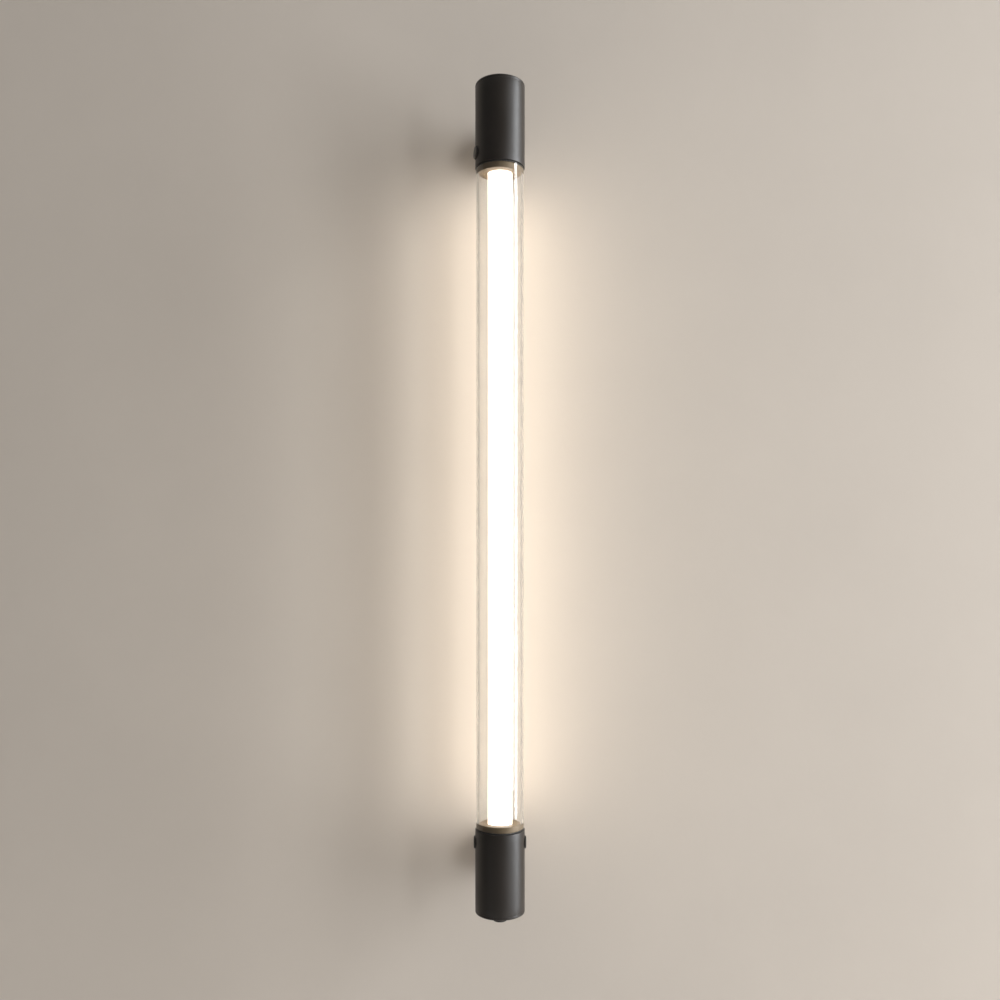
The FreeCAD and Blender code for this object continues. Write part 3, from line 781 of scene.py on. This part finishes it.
FINISHES: dict[str, SurfaceFinish | GlassFinish | LitOpalFinish] = {
    "cap_metal": CAP_COATING,
    "screw_metal": SCREW_COATING,
    "collar_metal": COLLAR_METAL,
    "bar_aluminium": ALUMINIUM,
    "zinc_steel": BRIGHT_ZINC,
    "clear_glass": GlassFinish(),
    "opal_plastic": LitOpalFinish(),
    "washer_plastic": SurfaceFinish("black nylon", (0.02, 0.02, 0.02), (0.028, 0.027, 0.026), 0.5),
    "gasket_rubber": SurfaceFinish("black silicone", (0.012, 0.012, 0.012), (0.018, 0.017, 0.017), 0.72,
                                   grain_scale=1500.0, grain_depth=0.00003),
    "plug_plastic": SurfaceFinish("white moulded plug", (0.82, 0.81, 0.78), (0.86, 0.85, 0.82), 0.45),
    "board_white": SurfaceFinish("white solder mask", (0.8, 0.8, 0.77), (0.86, 0.86, 0.83), 0.38),
    "led_phosphor": SurfaceFinish("yellow phosphor", (0.85, 0.66, 0.16), (0.9, 0.72, 0.22), 0.4),
    "driver_case": SurfaceFinish("white moulded case", (0.78, 0.78, 0.76), (0.83, 0.83, 0.81), 0.5,
                                 grain_scale=1400.0, grain_depth=0.00002),
    "terminal_plastic": SurfaceFinish("dark moulded nylon", (0.03, 0.03, 0.03), (0.045, 0.044, 0.042), 0.48),
    "lead_sheath": SurfaceFinish("soft lead sheath", (0.66, 0.65, 0.62), (0.72, 0.71, 0.68), 0.55),
}


class Wardrobe:
    """Makes each finish once and puts it on pieces."""

    def __init__(self) -> None:
        """Builds every material."""
        effects = Effects()
        self.materials = {slot: finish.make(effects) for slot, finish in FINISHES.items()}

    def dress(self, node: str, mesh: Mesh, slot: str, body: str = "fixture") -> Object:
        """Makes the finished piece that stands for a CAD node.

        Args:
            node: the CAD node that it replaces.
            mesh: the piece's mesh, already in place.
            slot: the record's material slot.
            body: the CAD body that it rides on.

        Returns:
            The piece.
        """
        mesh.name = name = node + "_finished"
        if not mesh.materials:
            mesh.materials.append(self.materials[slot])
        smoothed(mesh)
        piece = shown(name, mesh)
        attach(piece, body)
        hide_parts(node)
        LOG.info("%s: %d faces on %s", name, len(mesh.polygons), body)
        return piece

    def finish_copy(self, node: str, slot: str) -> Object:
        """Shows a CAD node of the fixture as a merged, smoothly shaded copy."""
        return self.dress(node, merged_copy(node), slot)

    def dress_kept_nodes(self) -> None:
        """Gives every CAD node that still shows the material of its slot."""
        for entry in frame["record"]["subparts"]:
            piece = frame["nodes"][entry["node"]]
            if piece.hide_render:
                continue
            if not piece.material_slots:
                piece.data.materials.append(None)
            for socket in piece.material_slots:
                socket.material = self.materials[entry["material_slot"]]
            LOG.info("%s keeps its CAD shape", entry["node"])


# Repeats made with Geometry Nodes ----------------------------------------------------------------

class GeometryTree:
    """A Geometry Nodes tree that stands copies of a unit at points, realized and painted."""

    def __init__(self, name: str, **inputs: str) -> None:
        """Starts a tree.

        Args:
            name: the tree's name.
            **inputs: each number input's name with its kind, Int or Float.
        """
        self.tree = bpy.data.node_groups.new(name, "GeometryNodeTree")
        kinds = {"Geometry": "Geometry", **inputs, "Unit": "Object", "Material": "Material"}
        for title, kind in kinds.items():
            self.tree.interface.new_socket(title, in_out="INPUT", socket_type="NodeSocket" + kind)
        self.tree.interface.new_socket("Geometry", in_out="OUTPUT", socket_type="NodeSocketGeometry")
        self.sheet = Sheet(self.tree)
        self.given = self.sheet.add("NodeGroupInput").outputs

    def close(self, points: Socket, **turn: Socket) -> None:
        """Ends the tree: copies the unit to the points, and realizes and paints the copies.

        Args:
            points: where the copies stand.
            **turn: a socket for the copies' Rotation, where they are turned.
        """
        sheet, given = self.sheet, self.given
        unit = sheet.add("GeometryNodeObjectInfo", Object=given["Unit"]).outputs["Geometry"]
        copies = sheet.add("GeometryNodeInstanceOnPoints", Points=points, Instance=unit, **turn)
        real = sheet.add("GeometryNodeRealizeInstances", Geometry=copies.outputs[0])
        painted = sheet.add("GeometryNodeSetMaterial", Geometry=real.outputs[0], Material=given["Material"])
        sheet.add("NodeGroupOutput", Geometry=painted.outputs[0])

    def run(self, unit: Mesh, material: Material, base: Mesh | None = None, **values: float) -> Mesh:
        """Evaluates the tree once.

        Args:
            unit: the mesh to copy.
            material: what the copies are painted with.
            base: the geometry given to the tree, or None where it makes its own points.
            **values: its number inputs.

        Returns:
            The plain mesh of all copies.
        """
        smoothed(unit)
        holder = bpy.data.objects.new("unit", unit)
        chosen = {"Unit": holder, "Material": material, **values}

        def prepare(target: Object) -> None:
            """Adds the tree, with its inputs set by identifier.

            Args:
                target: the object that gets the modifier.
            """
            step = target.modifiers.new("copies", "NODES")
            step.node_group = self.tree
            for item in self.tree.interface.items_tree:
                if item.name in chosen:
                    step[item.identifier] = chosen[item.name]

        result = with_modifiers(base or bpy.data.meshes.new("start"), prepare)
        bpy.data.objects.remove(holder)
        return result


def ring_of_ribs() -> GeometryTree:
    """Makes a tree that stands ribs in a ring round local Z, each turned to face outwards.

    Returns:
        The tree.
    """
    tree = GeometryTree("ring of ribs", Count="Int", Radius="Float", Height="Float")
    sheet, given = tree.sheet, tree.given
    circle = sheet.add("GeometryNodeMeshCircle", Vertices=given["Count"], Radius=given["Radius"])
    lift = sheet.upright(given["Height"])
    raised = sheet.add("GeometryNodeSetPosition", Geometry=circle.outputs[0], Offset=lift)
    step = sheet.math("DIVIDE", 2 * math.pi, given["Count"])
    turn = sheet.math("MULTIPLY", sheet.add("GeometryNodeInputIndex").outputs[0], step)
    tree.close(raised.outputs[0], Rotation=sheet.upright(turn))
    return tree


def row_of_pieces() -> GeometryTree:
    """Makes a tree that stands pieces in an upright row centred on local zero.

    Returns:
        The tree.
    """
    tree = GeometryTree("row of pieces", Count="Int", Pitch="Float")
    sheet, given = tree.sheet, tree.given
    last = sheet.math("SUBTRACT", given["Count"], 1.0)
    low = sheet.math("MULTIPLY", sheet.math("MULTIPLY", last, given["Pitch"]), -0.5)
    line = sheet.add("GeometryNodeMeshLine", Count=given["Count"], Start_Location=sheet.upright(low),
                     Offset=sheet.upright(given["Pitch"]))
    tree.close(line.outputs[0])
    return tree


def pieces_at_normals() -> GeometryTree:
    """Makes a tree that puts a piece at each face's middle, with local Z along the face's normal.

    Returns:
        The tree.
    """
    tree = GeometryTree("pieces at normals")
    sheet = tree.sheet
    way = sheet.add("GeometryNodeCaptureAttribute", {"domain": "FACE"})
    way.capture_items.new("VECTOR", "way")
    sheet.row(way, tree.given["Geometry"], sheet.add("GeometryNodeInputNormal").outputs[0])
    spots = sheet.add("GeometryNodeMeshToPoints", {"mode": "FACES"}, Mesh=way.outputs[0])
    aim = sheet.add("FunctionNodeAlignRotationToVector", {"axis": "Z"}, Vector=way.outputs[1])
    tree.close(spots.outputs[0], Rotation=aim.outputs[0])
    return tree


# Sub-assemblies ----------------------------------------------------------------------------------

@dataclass
class EndCap:
    """One metal end cap: turned shell, end disc and the collar inside it."""

    end: End
    screw_angles: tuple[float, ...]
    radius: float = 25.0
    bore: float = 23.0
    bore_rounding: float = 0.2
    rim_rounding: float = 0.45
    shell_end: float = 414.0
    seam_rounding: float = 0.3
    disc_rounding: float = 1.2
    spigot_bore: float = 21.0
    spigot_end: float = 410.0
    switch_hole: float = 5.0
    switch_hole_rounding: float = 0.3
    arm_hole: float = 5.2
    screw_hole: float = 2.3
    spot_face: float = 6.7
    spot_depth: float = 23.9
    arm_cut_from: float = 10.0
    arm_cut_to: float = 40.0
    screw_cut_from: float = 20.0
    screw_cut_to: float = 30.0
    thread_cut_to: float = 26.0
    collar_face: float = 326.0
    collar_end: float = 354.0
    collar_radius: float = 21.15
    collar_cap_radius: float = 22.9
    collar_bore: float = 12.2
    collar_bore_rounding: float = 0.25
    collar_face_rounding: float = 0.5
    collar_end_rounding: float = 0.3
    shoulder: float = 343.5
    shoulder_bore: float = 10.5
    pocket_floor: float = 338.5
    pocket_inner: float = 14.6
    pocket_outer: float = 20.4
    boss: float = 4.5
    boss_root: float = 1.0
    thread: float = 2.05

    def _at_screws(self, *spans: tuple[float, ...]) -> list[Mesh]:
        """Round cutters or bosses at each thumb screw's place.

        Args:
            *spans: the radius, start, end and any segments of each, along the screw.

        Returns:
            The meshes, in mm about the tube's axis.
        """
        places = [aimed((0, 0, SCREW_HEIGHT), outward(angle)) for angle in self.screw_angles]
        return [placed(rod(*span), place) for place in places for span in spans]

    def shell(self) -> Mesh:
        """Builds the turned tube with its arm hole and a spot face under each thumb screw.

        Returns:
            The mesh, in place.
        """
        corners = (
            Corner(self.bore, CAP_RIM, self.bore_rounding),
            Corner(self.radius, CAP_RIM, self.rim_rounding),
            Corner(self.radius, self.shell_end, self.seam_rounding),
            Corner(self.bore, self.shell_end),
        )
        to_wall = Matrix.Translation((0, 0, ARM_HEIGHT)) @ Matrix.Rotation(math.radians(-90), 4, "X")
        arm_hole = placed(rod(self.arm_hole, self.arm_cut_from, self.arm_cut_to), to_wall)
        screw_holes = self._at_screws((self.screw_hole, self.screw_cut_from, self.screw_cut_to),
                                      (self.spot_face, self.spot_depth, self.screw_cut_to, 96))
        mesh = combined(turned(corners, segments=240), Boolean.CUT, [arm_hole, *screw_holes])
        return placed(mesh, axis_frame(self.end))

    def disc(self) -> Mesh:
        """Builds the end disc with its rounded outer edge, its seam and its hidden spigot.

        Returns:
            The mesh, in place.
        """
        holed = self.end is End.BOTTOM
        inner = self.switch_hole if holed else 0.0
        corners = (
            Corner(inner, self.shell_end),
            Corner(self.spigot_bore, self.shell_end),
            Corner(self.spigot_bore, self.spigot_end),
            Corner(self.bore, self.spigot_end),
            Corner(self.bore, self.shell_end),
            Corner(self.radius, self.shell_end, self.seam_rounding),
            Corner(self.radius, CAP_FACE, self.disc_rounding),
            Corner(inner, CAP_FACE, self.switch_hole_rounding if holed else 0.0),
        )
        return placed(turned(corners, segments=240, steps=8), axis_frame(self.end))

    def collar(self) -> Mesh:
        """Builds the stepped ring that holds glass, light tube and thumb screws.

        Returns:
            The mesh, in place.
        """
        corners = (
            Corner(self.collar_bore, self.collar_face, self.collar_bore_rounding),
            Corner(self.collar_radius, self.collar_face, self.collar_face_rounding),
            Corner(self.collar_radius, CAP_RIM),
            Corner(self.collar_cap_radius, CAP_RIM),
            Corner(self.collar_cap_radius, self.collar_end, self.collar_end_rounding),
            Corner(self.pocket_outer, self.collar_end),
            Corner(self.pocket_outer, self.pocket_floor),
            Corner(self.pocket_inner, self.pocket_floor),
            Corner(self.pocket_inner, self.collar_end),
            Corner(self.shoulder_bore, self.collar_end),
            Corner(self.shoulder_bore, self.shoulder),
            Corner(self.collar_bore, self.shoulder),
        )
        root = self.boss_root
        bosses = self._at_screws((self.boss, self.pocket_inner - root, self.pocket_outer + root))
        threads = self._at_screws((self.thread, self.pocket_inner + root, self.thread_cut_to))
        mesh = combined(turned(corners, segments=192), Boolean.JOIN, bosses)
        return placed(combined(mesh, Boolean.CUT, threads), axis_frame(self.end))

    def build(self, wardrobe: Wardrobe) -> None:
        """Adds the cap's three pieces.

        Args:
            wardrobe: dresses the pieces.
        """
        wardrobe.dress(self.end.prefix + "_cap_shell", self.shell(), "cap_metal")
        wardrobe.dress(self.end.prefix + "_end_disc", self.disc(), "cap_metal")
        wardrobe.dress(self.end.prefix + "_collar", self.collar(), "collar_metal")


@dataclass
class LightTube:
    """The clear glass tube, its gaskets and the opal tube inside it."""

    glass_radius: float = 24.1
    glass_wall: float = 3.0
    glass_end: float = 331.8
    glass_rounding: float = 0.4
    gasket_radius: float = 23.7
    gasket_bore: float = 21.2
    gasket_rounding: float = 0.35
    opal_radius: float = 12.1
    opal_wall: float = 1.2
    opal_end: float = 342.0
    opal_rounding: float = 0.2
    longest: float = 60.0

    def glass(self) -> Mesh:
        """The clear tube with its polished, slightly rounded ends, in place."""
        tube = ring(self.glass_radius - self.glass_wall, self.glass_radius, -self.glass_end, self.glass_end,
                    self.glass_rounding, self.glass_rounding)
        return placed(turned(tube, segments=256, steps=6, longest=self.longest), axis_frame())

    def opal(self) -> Mesh:
        """The opal tube, in place."""
        tube = ring(self.opal_radius - self.opal_wall, self.opal_radius, -self.opal_end, self.opal_end,
                    outer_rounding=self.opal_rounding)
        return placed(turned(tube, segments=128, steps=3, longest=self.longest), axis_frame())

    def gasket(self, end: End) -> Mesh:
        """The flat silicone ring between a cap's rim and the glass, in place."""
        band = ring(self.gasket_bore, self.gasket_radius, self.glass_end, CAP_RIM,
                    outer_rounding=self.gasket_rounding)
        return placed(turned(band, segments=192, steps=4), axis_frame(end))

    def build(self, wardrobe: Wardrobe) -> None:
        """Adds the tubes and gaskets.

        Args:
            wardrobe: dresses the pieces.
        """
        wardrobe.dress("glass_tube", self.glass(), "clear_glass")
        wardrobe.dress("diffuser_tube", self.opal(), "opal_plastic")
        for end in End:
            wardrobe.dress(end.prefix + "_gasket", self.gasket(end), "gasket_rubber")


@dataclass
class ThumbScrew:
    """One thumb screw with its washer. Local Z is the distance from the tube's axis."""

    name: str
    end: End
    angle: float
    ribs: GeometryTree
    seat: float = 24.4
    seat_rounding: float = 0.15
    outer: float = 26.4
    head: float = 6.25
    rounding: float = 0.55
    shank: float = 2.0
    shank_length: float = 8.0
    tip_rounding: float = 0.5
    rib_count: int = 60
    rib_size: float = 0.14
    rib_taper: float = 0.1
    rib_clear: float = 0.2
    washer: float = 5.75
    washer_bore: float = 2.05
    washer_seat: float = 23.9
    washer_rounding: float = 0.12

    def _frame(self) -> Matrix:
        """The frame, from mm to metres, of the screw's axis."""
        return TO_METRES @ aimed((0, -AXIS_TO_WALL, self.end.value * SCREW_HEIGHT), outward(self.angle))

    def screw_mesh(self, material: Material) -> Mesh:
        """Builds the head, its finely ribbed rim and the plain shank.

        Args:
            material: the screw's material.

        Returns:
            The mesh, in place.
        """
        core = self.head - self.rib_size
        corners = (
            Corner(0, self.seat - self.shank_length),
            Corner(self.shank, self.seat - self.shank_length, self.tip_rounding),
            Corner(self.shank, self.seat),
            Corner(core, self.seat, self.seat_rounding),
            Corner(core, self.outer, self.rounding),
            Corner(0, self.outer),
        )
        low, high = self.seat + self.rib_clear, self.outer - self.rounding
        half = (high - low) / 2
        rib = (Corner(0, -half), Corner(self.rib_size, self.rib_taper - half),
               Corner(self.rib_size, half - self.rib_taper), Corner(0, half))
        ribs = self.ribs.run(turned(rib, segments=8), material, Count=self.rib_count, Radius=core,
                             Height=(low + high) / 2)
        ribs.materials.clear()
        return placed(joined([turned(corners, segments=96, steps=6), ribs]), self._frame())

    def washer_mesh(self) -> Mesh:
        """The nylon washer under the head, in place."""
        band = ring(self.washer_bore, self.washer, self.washer_seat, self.seat,
                    outer_rounding=self.washer_rounding)
        return placed(turned(band, segments=72, steps=3), self._frame())

    def build(self, wardrobe: Wardrobe) -> None:
        """Adds the screw on its own body and the washer on the sliding body.

        Args:
            wardrobe: dresses the pieces.
        """
        body = self.name + "_screw"
        screw = self.screw_mesh(wardrobe.materials["screw_metal"])
        wardrobe.dress(self.name + "_thumb_screw", screw, "screw_metal", body)
        wardrobe.dress(self.name + "_thumb_washer", self.washer_mesh(), "washer_plastic", body + "_washer")


@dataclass
class PushButton:
    """The push button under the bottom cap and its spring. Local Z is the distance below the cap."""

    radius: float = 7.3
    drop: float = 8.4
    dish_radius: float = 5.256
    dish_depth: float = 0.25
    top: float = 2.3
    top_rounding: float = 0.3
    wall: float = 1.0
    wall_rounding: float = 0.2
    crown: float = 1.74
    crown_rounding: float = 0.3
    flange: float = 1.2
    spring_keep: float = 0.665
    plunger: float = 3.0
    plunger_end: float = 14.5
    plunger_rounding: float = 0.4
    rounding: float = 0.9

    def mesh(self) -> Mesh:
        """Builds the hollow cup on its plunger, with a shallow dish in its face.

        Returns:
            The mesh, in place.
        """
        inside = self.drop - self.crown
        corners = (
            Corner(0, -self.plunger_end),
            Corner(self.plunger, -self.plunger_end, self.plunger_rounding),
            Corner(self.plunger, inside),
            Corner(self.radius - self.wall, inside, self.crown_rounding),
            Corner(self.radius - self.wall, self.top, self.wall_rounding),
            Corner(self.radius, self.top, self.top_rounding),
            Corner(self.radius, self.drop, self.rounding),
            Corner(self.dish_radius, self.drop),
            Corner(0, self.drop - self.dish_depth),
        )
        below = TO_METRES @ aimed((0, -AXIS_TO_WALL, -CAP_FACE), Vector((0, 0, -1)))
        return placed(turned(corners, segments=96, steps=6), below)

    def build(self, wardrobe: Wardrobe) -> None:
        """Adds the button on its own body, and a smooth copy of the spring with a mesh of its own.

        Args:
            wardrobe: dresses the pieces.
        """
        wardrobe.dress("push_button", self.mesh(), "cap_metal", "button")
        spring = wardrobe.finish_copy("button_spring", "zinc_steel")
        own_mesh(spring)


@dataclass
class WallMount:
    """One arm with its rose, bracket and clamping parts, shown as smooth copies of the CAD."""

    end: End
    coated: tuple[str, ...] = ("_arm", "_wall_rose")
    plated: tuple[str, ...] = ("_wall_bracket", "_stay_pipe", "_saddle_washer", "_pipe_nuts")

    def build(self, wardrobe: Wardrobe) -> None:
        """Adds a copy of each node.

        Args:
            wardrobe: dresses the pieces.
        """
        for slot, parts in (("cap_metal", self.coated), ("zinc_steel", self.plated)):
            for part in parts:
                wardrobe.finish_copy(self.end.prefix + part, slot)


@dataclass
class RoseScrews:
    """The four countersunk side screws of the wall roses, each with a hexagon socket."""

    tree: GeometryTree
    rose: float = 24.0
    depth: float = 6.0
    patch: float = 0.1
    head: float = 2.8
    head_edge: float = 0.1
    head_rounding: float = 0.05
    head_chamfer: float = 0.15
    shank: float = 1.5
    length: float = 5.0
    tip_rounding: float = 0.3
    socket: float = 2.0
    socket_depth: float = 1.0

    def unit(self) -> Mesh:
        """Builds one screw, with local zero at the middle of its head's face.

        Returns:
            The mesh, in metres.
        """
        corners = (
            Corner(0, -self.length),
            Corner(self.shank, -self.length, self.tip_rounding),
            Corner(self.shank, self.shank - self.head),
            Corner(self.head - self.head_rounding, -self.head_edge, self.head_rounding),
            Corner(self.head - self.head_chamfer, 0.0),
            Corner(0, 0.0),
        )
        hexagon = rod(self.socket / math.sqrt(3), -self.socket_depth, self.socket_depth, 6)
        return placed(combined(turned(corners, segments=48, steps=3), Boolean.CUT, [hexagon]), TO_METRES)

    def places(self) -> Mesh:
        """Builds a small face at each screw's place that looks outwards.

        Returns:
            The mesh, in metres.
        """
        spots: list[Place] = []
        for height in (-ARM_HEIGHT, ARM_HEIGHT):
            for side in (-1, 1):
                for across, along in ((-1, -1), (-1, 1), (1, 1), (1, -1)):
                    depth = -self.depth - side * across * self.patch
                    spots.append((side * self.rose * MM, depth * MM, (height + along * self.patch) * MM))
        mesh = bpy.data.meshes.new("places")
        mesh.from_pydata(spots, [], [range(start, start + 4) for start in range(0, len(spots), 4)])
        return mesh

    def build(self, wardrobe: Wardrobe) -> None:
        """Adds all four screws as one piece."""
        mesh = self.tree.run(self.unit(), wardrobe.materials["zinc_steel"], self.places())
        wardrobe.dress("rose_screws", mesh, "zinc_steel")


@dataclass
class LedRows:
    """The rows of light-emitting packages on the two boards inside the opal tube."""

    tree: GeometryTree
    width: float = 3.5
    height: float = 2.8
    thickness: float = 0.8
    border: float = 0.35
    dish: float = 0.12
    count: int = 33
    board_end: float = 331.5
    board_face: float = 5.5

    def unit(self) -> Mesh:
        """Builds one package with a shallow dished window that faces local -Y.

        Returns:
            The mesh, in metres.
        """
        mesh = bpy.data.meshes.new("package")
        with edited(mesh) as shape:
            bmesh.ops.create_cube(shape, size=1.0)
            bmesh.ops.scale(shape, verts=shape.verts, vec=(self.width, self.thickness, self.height))
            front = min(shape.faces, key=lambda face: face.calc_center_median().y)
            bmesh.ops.inset_region(shape, faces=[front], thickness=self.border)
            bmesh.ops.inset_region(shape, faces=[front], thickness=self.dish, depth=-self.dish)
        return placed(mesh, TO_METRES)

    def build(self, wardrobe: Wardrobe) -> None:
        """Adds the front and the rear row.

        Args:
            wardrobe: dresses the pieces.
        """
        pitch = 2 * self.board_end / self.count * MM
        for name, side, turn in (("front", -1, 0.0), ("rear", 1, math.pi)):
            unit = placed(self.unit(), Matrix.Rotation(turn, 4, "Z"))
            mesh = self.tree.run(unit, wardrobe.materials["led_phosphor"], Count=self.count, Pitch=pitch)
            middle = -AXIS_TO_WALL + side * (self.board_face + self.thickness / 2)
            mesh.transform(Matrix.Translation((0, middle * MM, 0)))
            wardrobe.dress("led_packages_" + name, mesh, "led_phosphor")


# The room ----------------------------------------------------------------------------------------

@dataclass(frozen=True)
class PlasterFinish:
    """Trowelled plaster that is seen through from behind."""

    colour: Colour = (0.63, 0.555, 0.478)
    shade: float = 0.965
    roughness: float = 0.85
    broad_scale: float = 3.0
    broad_depth: float = 0.004
    broad_strength: float = 0.2
    fine_scale: float = 55.0
    fine_depth: float = 0.0009
    fine_strength: float = 0.15
    first_pass: float = 0.5

    def make(self) -> Material:
        """Builds the material.

        Returns:
            The material.
        """
        material, sheet, shader = new_material("trowelled plaster")
        broad = sheet.noise(self.broad_scale, Detail=5.0, Roughness=0.6)
        fine = sheet.noise(self.fine_scale, Detail=6.0, Roughness=0.62)
        clouds = sheet.span(broad, *Effects.CLOUD_RANGE)
        colour = sheet.blend(clouds, shaded(self.colour, self.shade), self.colour)
        low = sheet.bump(broad, self.broad_depth, self.broad_strength)
        normal = sheet.bump(fine, self.fine_depth, self.fine_strength, Normal=low)
        sheet.fill(shader, Base_Color=colour, Roughness=self.roughness, Normal=normal)
        behind = sheet.add("ShaderNodeNewGeometry").outputs["Backfacing"]
        depth = sheet.add("ShaderNodeLightPath").outputs["Transparent Depth"]
        passed = sheet.math("GREATER_THAN", depth, self.first_pass)
        clear = sheet.add("ShaderNodeBsdfTransparent")
        surface = sheet.cross(sheet.math("MAXIMUM", behind, passed), shader, clear)
        sheet.add("ShaderNodeOutputMaterial", Surface=surface)
        return material


@dataclass(frozen=True)
class FloorFinish:
    """Pale matt floor."""

    colour: Colour = (0.60, 0.575, 0.55)
    shade: float = 0.97
    roughness: float = 0.8
    cloud_scale: float = 4.0

    def make(self) -> Material:
        """Builds the material.

        Returns:
            The material.
        """
        material, sheet, shader = new_material("pale floor")
        clouds = sheet.noise(self.cloud_scale, Detail=4.0)
        colour = sheet.blend(clouds, shaded(self.colour, self.shade), self.colour)
        sheet.fill(shader, Base_Color=colour, Roughness=self.roughness)
        sheet.add("ShaderNodeOutputMaterial", Surface=shader.outputs[0])
        return material


@dataclass(frozen=True)
class SoftLamp:
    """A rectangular area lamp that the camera doesn't see, directly or through glass, set by its radiance."""

    name: str
    place: Place
    aim: Place
    size: tuple[float, float]
    radiance: float
    colour: Colour = (0.93, 0.965, 1.0)

    def build(self) -> None:
        """Adds the lamp."""
        light = bpy.data.lights.new(self.name, "AREA")
        light.shape = "RECTANGLE"
        light.size, light.size_y = self.size
        light.energy = self.radiance * math.pi * self.size[0] * self.size[1]
        light.color = self.colour
        lamp = shown(self.name, light)
        lamp.location = self.place
        lamp.rotation_euler = (Vector(self.aim) - Vector(self.place)).to_track_quat("-Z", "Y").to_euler()
        lamp.visible_camera = False
        lamp.visible_transmission = False


MID_AXIS = (0.0, -AXIS_TO_WALL * MM, 0.0)


@dataclass
class Room:
    """Pale plastered wall, pale floor, soft lamps and the world."""

    wall_size: float = 4.0
    wall_gap: float = 0.0005
    floor_height: float = -1.5
    dome_colour: Colour = (1.0, 0.985, 0.965)
    dome_span: tuple[float, float] = (0.5, 0.9)
    dark: float = 0.14
    bright: float = 0.6
    backdrop: Colour = (0.80, 0.78, 0.755)
    lamps: tuple[SoftLamp, ...] = (
        SoftLamp("side_window", (3.0, -0.42, 0.35), MID_AXIS, (0.90, 3.7), 13.0),
        SoftLamp("far_window", (3.02, -1.54, 0.25), MID_AXIS, (0.65, 3.0), 10.5),
        SoftLamp("near_window", (2.29, -2.53, 0.20), MID_AXIS, (0.34, 3.2), 6.0),
        SoftLamp("low_fill", (-0.1, -0.90, -1.3), (0.0, 0.0, -0.2), (2.4, 0.8), 0.35, (1.0, 0.98, 0.96)),
    )

    @staticmethod
    def _flat(name: str, corners: Sequence[Place], material: Material) -> None:
        """Adds a flat stage piece.

        Args:
            name: its name.
            corners: its four corners.
            material: its material.
        """
        mesh = bpy.data.meshes.new(name)
        mesh.from_pydata(corners, [], [(0, 1, 2, 3)])
        mesh.materials.append(material)
        shown(name, mesh)

    def _world(self) -> None:
        """A soft dome: dark at eye level in front, bright above and below, pale to the camera."""
        world = bpy.data.worlds.new("room light")
        bpy.context.scene.world = world
        world.use_nodes = True
        world.node_tree.nodes.clear()
        sheet = Sheet(world.node_tree)
        way = sheet.add("ShaderNodeTexCoord").outputs["Generated"]
        height = sheet.math("ABSOLUTE", sheet.parts(way)[2])
        level = sheet.span(height, *self.dome_span, self.dark, self.bright)
        dome = sheet.add("ShaderNodeBackground", Color=self.dome_colour, Strength=level)
        seen = sheet.add("ShaderNodeBackground", Color=self.backdrop, Strength=1.0)
        by_camera = sheet.add("ShaderNodeLightPath").outputs["Is Camera Ray"]
        sheet.add("ShaderNodeOutputWorld", Surface=sheet.cross(by_camera, dome, seen))

    def build(self) -> None:
        """Adds wall, floor, world and lamps."""
        half, low, wall = self.wall_size / 2, self.floor_height, self.wall_gap
        upright = ((-half, wall, low), (half, wall, low), (half, wall, half), (-half, wall, half))
        level = ((-half, -half, low), (half, -half, low), (half, half, low), (-half, half, low))
        self._flat("plaster_wall", upright, PlasterFinish().make())
        self._flat("pale_floor", level, FloorFinish().make())
        self._world()
        for lamp in self.lamps:
            lamp.build()


@dataclass
class PhotoCamera:
    """The camera at the photograph's viewing angle: level, square on and a little below mid-height."""

    distance: float = 0.945
    height: float = -0.060
    lens: float = 33.68
    sensor: float = 36.0
    shift: float = 0.05815

    def build(self) -> None:
        """Adds the camera and makes it the scene's."""
        data = bpy.data.cameras.new("photo_camera")
        data.lens = self.lens
        data.sensor_width = self.sensor
        data.shift_y = self.shift
        camera = shown("photo_camera", data)
        camera.location = (0.0, -AXIS_TO_WALL * MM - self.distance, self.height)
        camera.rotation_euler = (math.radians(90), 0.0, 0.0)
        bpy.context.scene.camera = camera


def main() -> None:
    """Builds every sub-assembly in order, then the room and the camera."""
    logging.basicConfig(level=logging.INFO, format="%(message)s")
    bpy.context.scene.view_settings.view_transform = "Standard"
    wardrobe = Wardrobe()
    ribs, row, at_normals = ring_of_ribs(), row_of_pieces(), pieces_at_normals()
    for assembly in (
        EndCap(End.TOP, (195.0,)),
        EndCap(End.BOTTOM, (180.0, 0.0)),
        LightTube(),
        ThumbScrew("top_left", End.TOP, 195.0, ribs),
        ThumbScrew("bottom_left", End.BOTTOM, 180.0, ribs),
        ThumbScrew("bottom_right", End.BOTTOM, 0.0, ribs),
        PushButton(),
        WallMount(End.TOP),
        WallMount(End.BOTTOM),
        RoseScrews(at_normals),
        LedRows(row),
    ):
        assembly.build(wardrobe)
    wardrobe.dress_kept_nodes()
    Room().build()
    PhotoCamera().build()


if __name__ == "__main__":
    main()
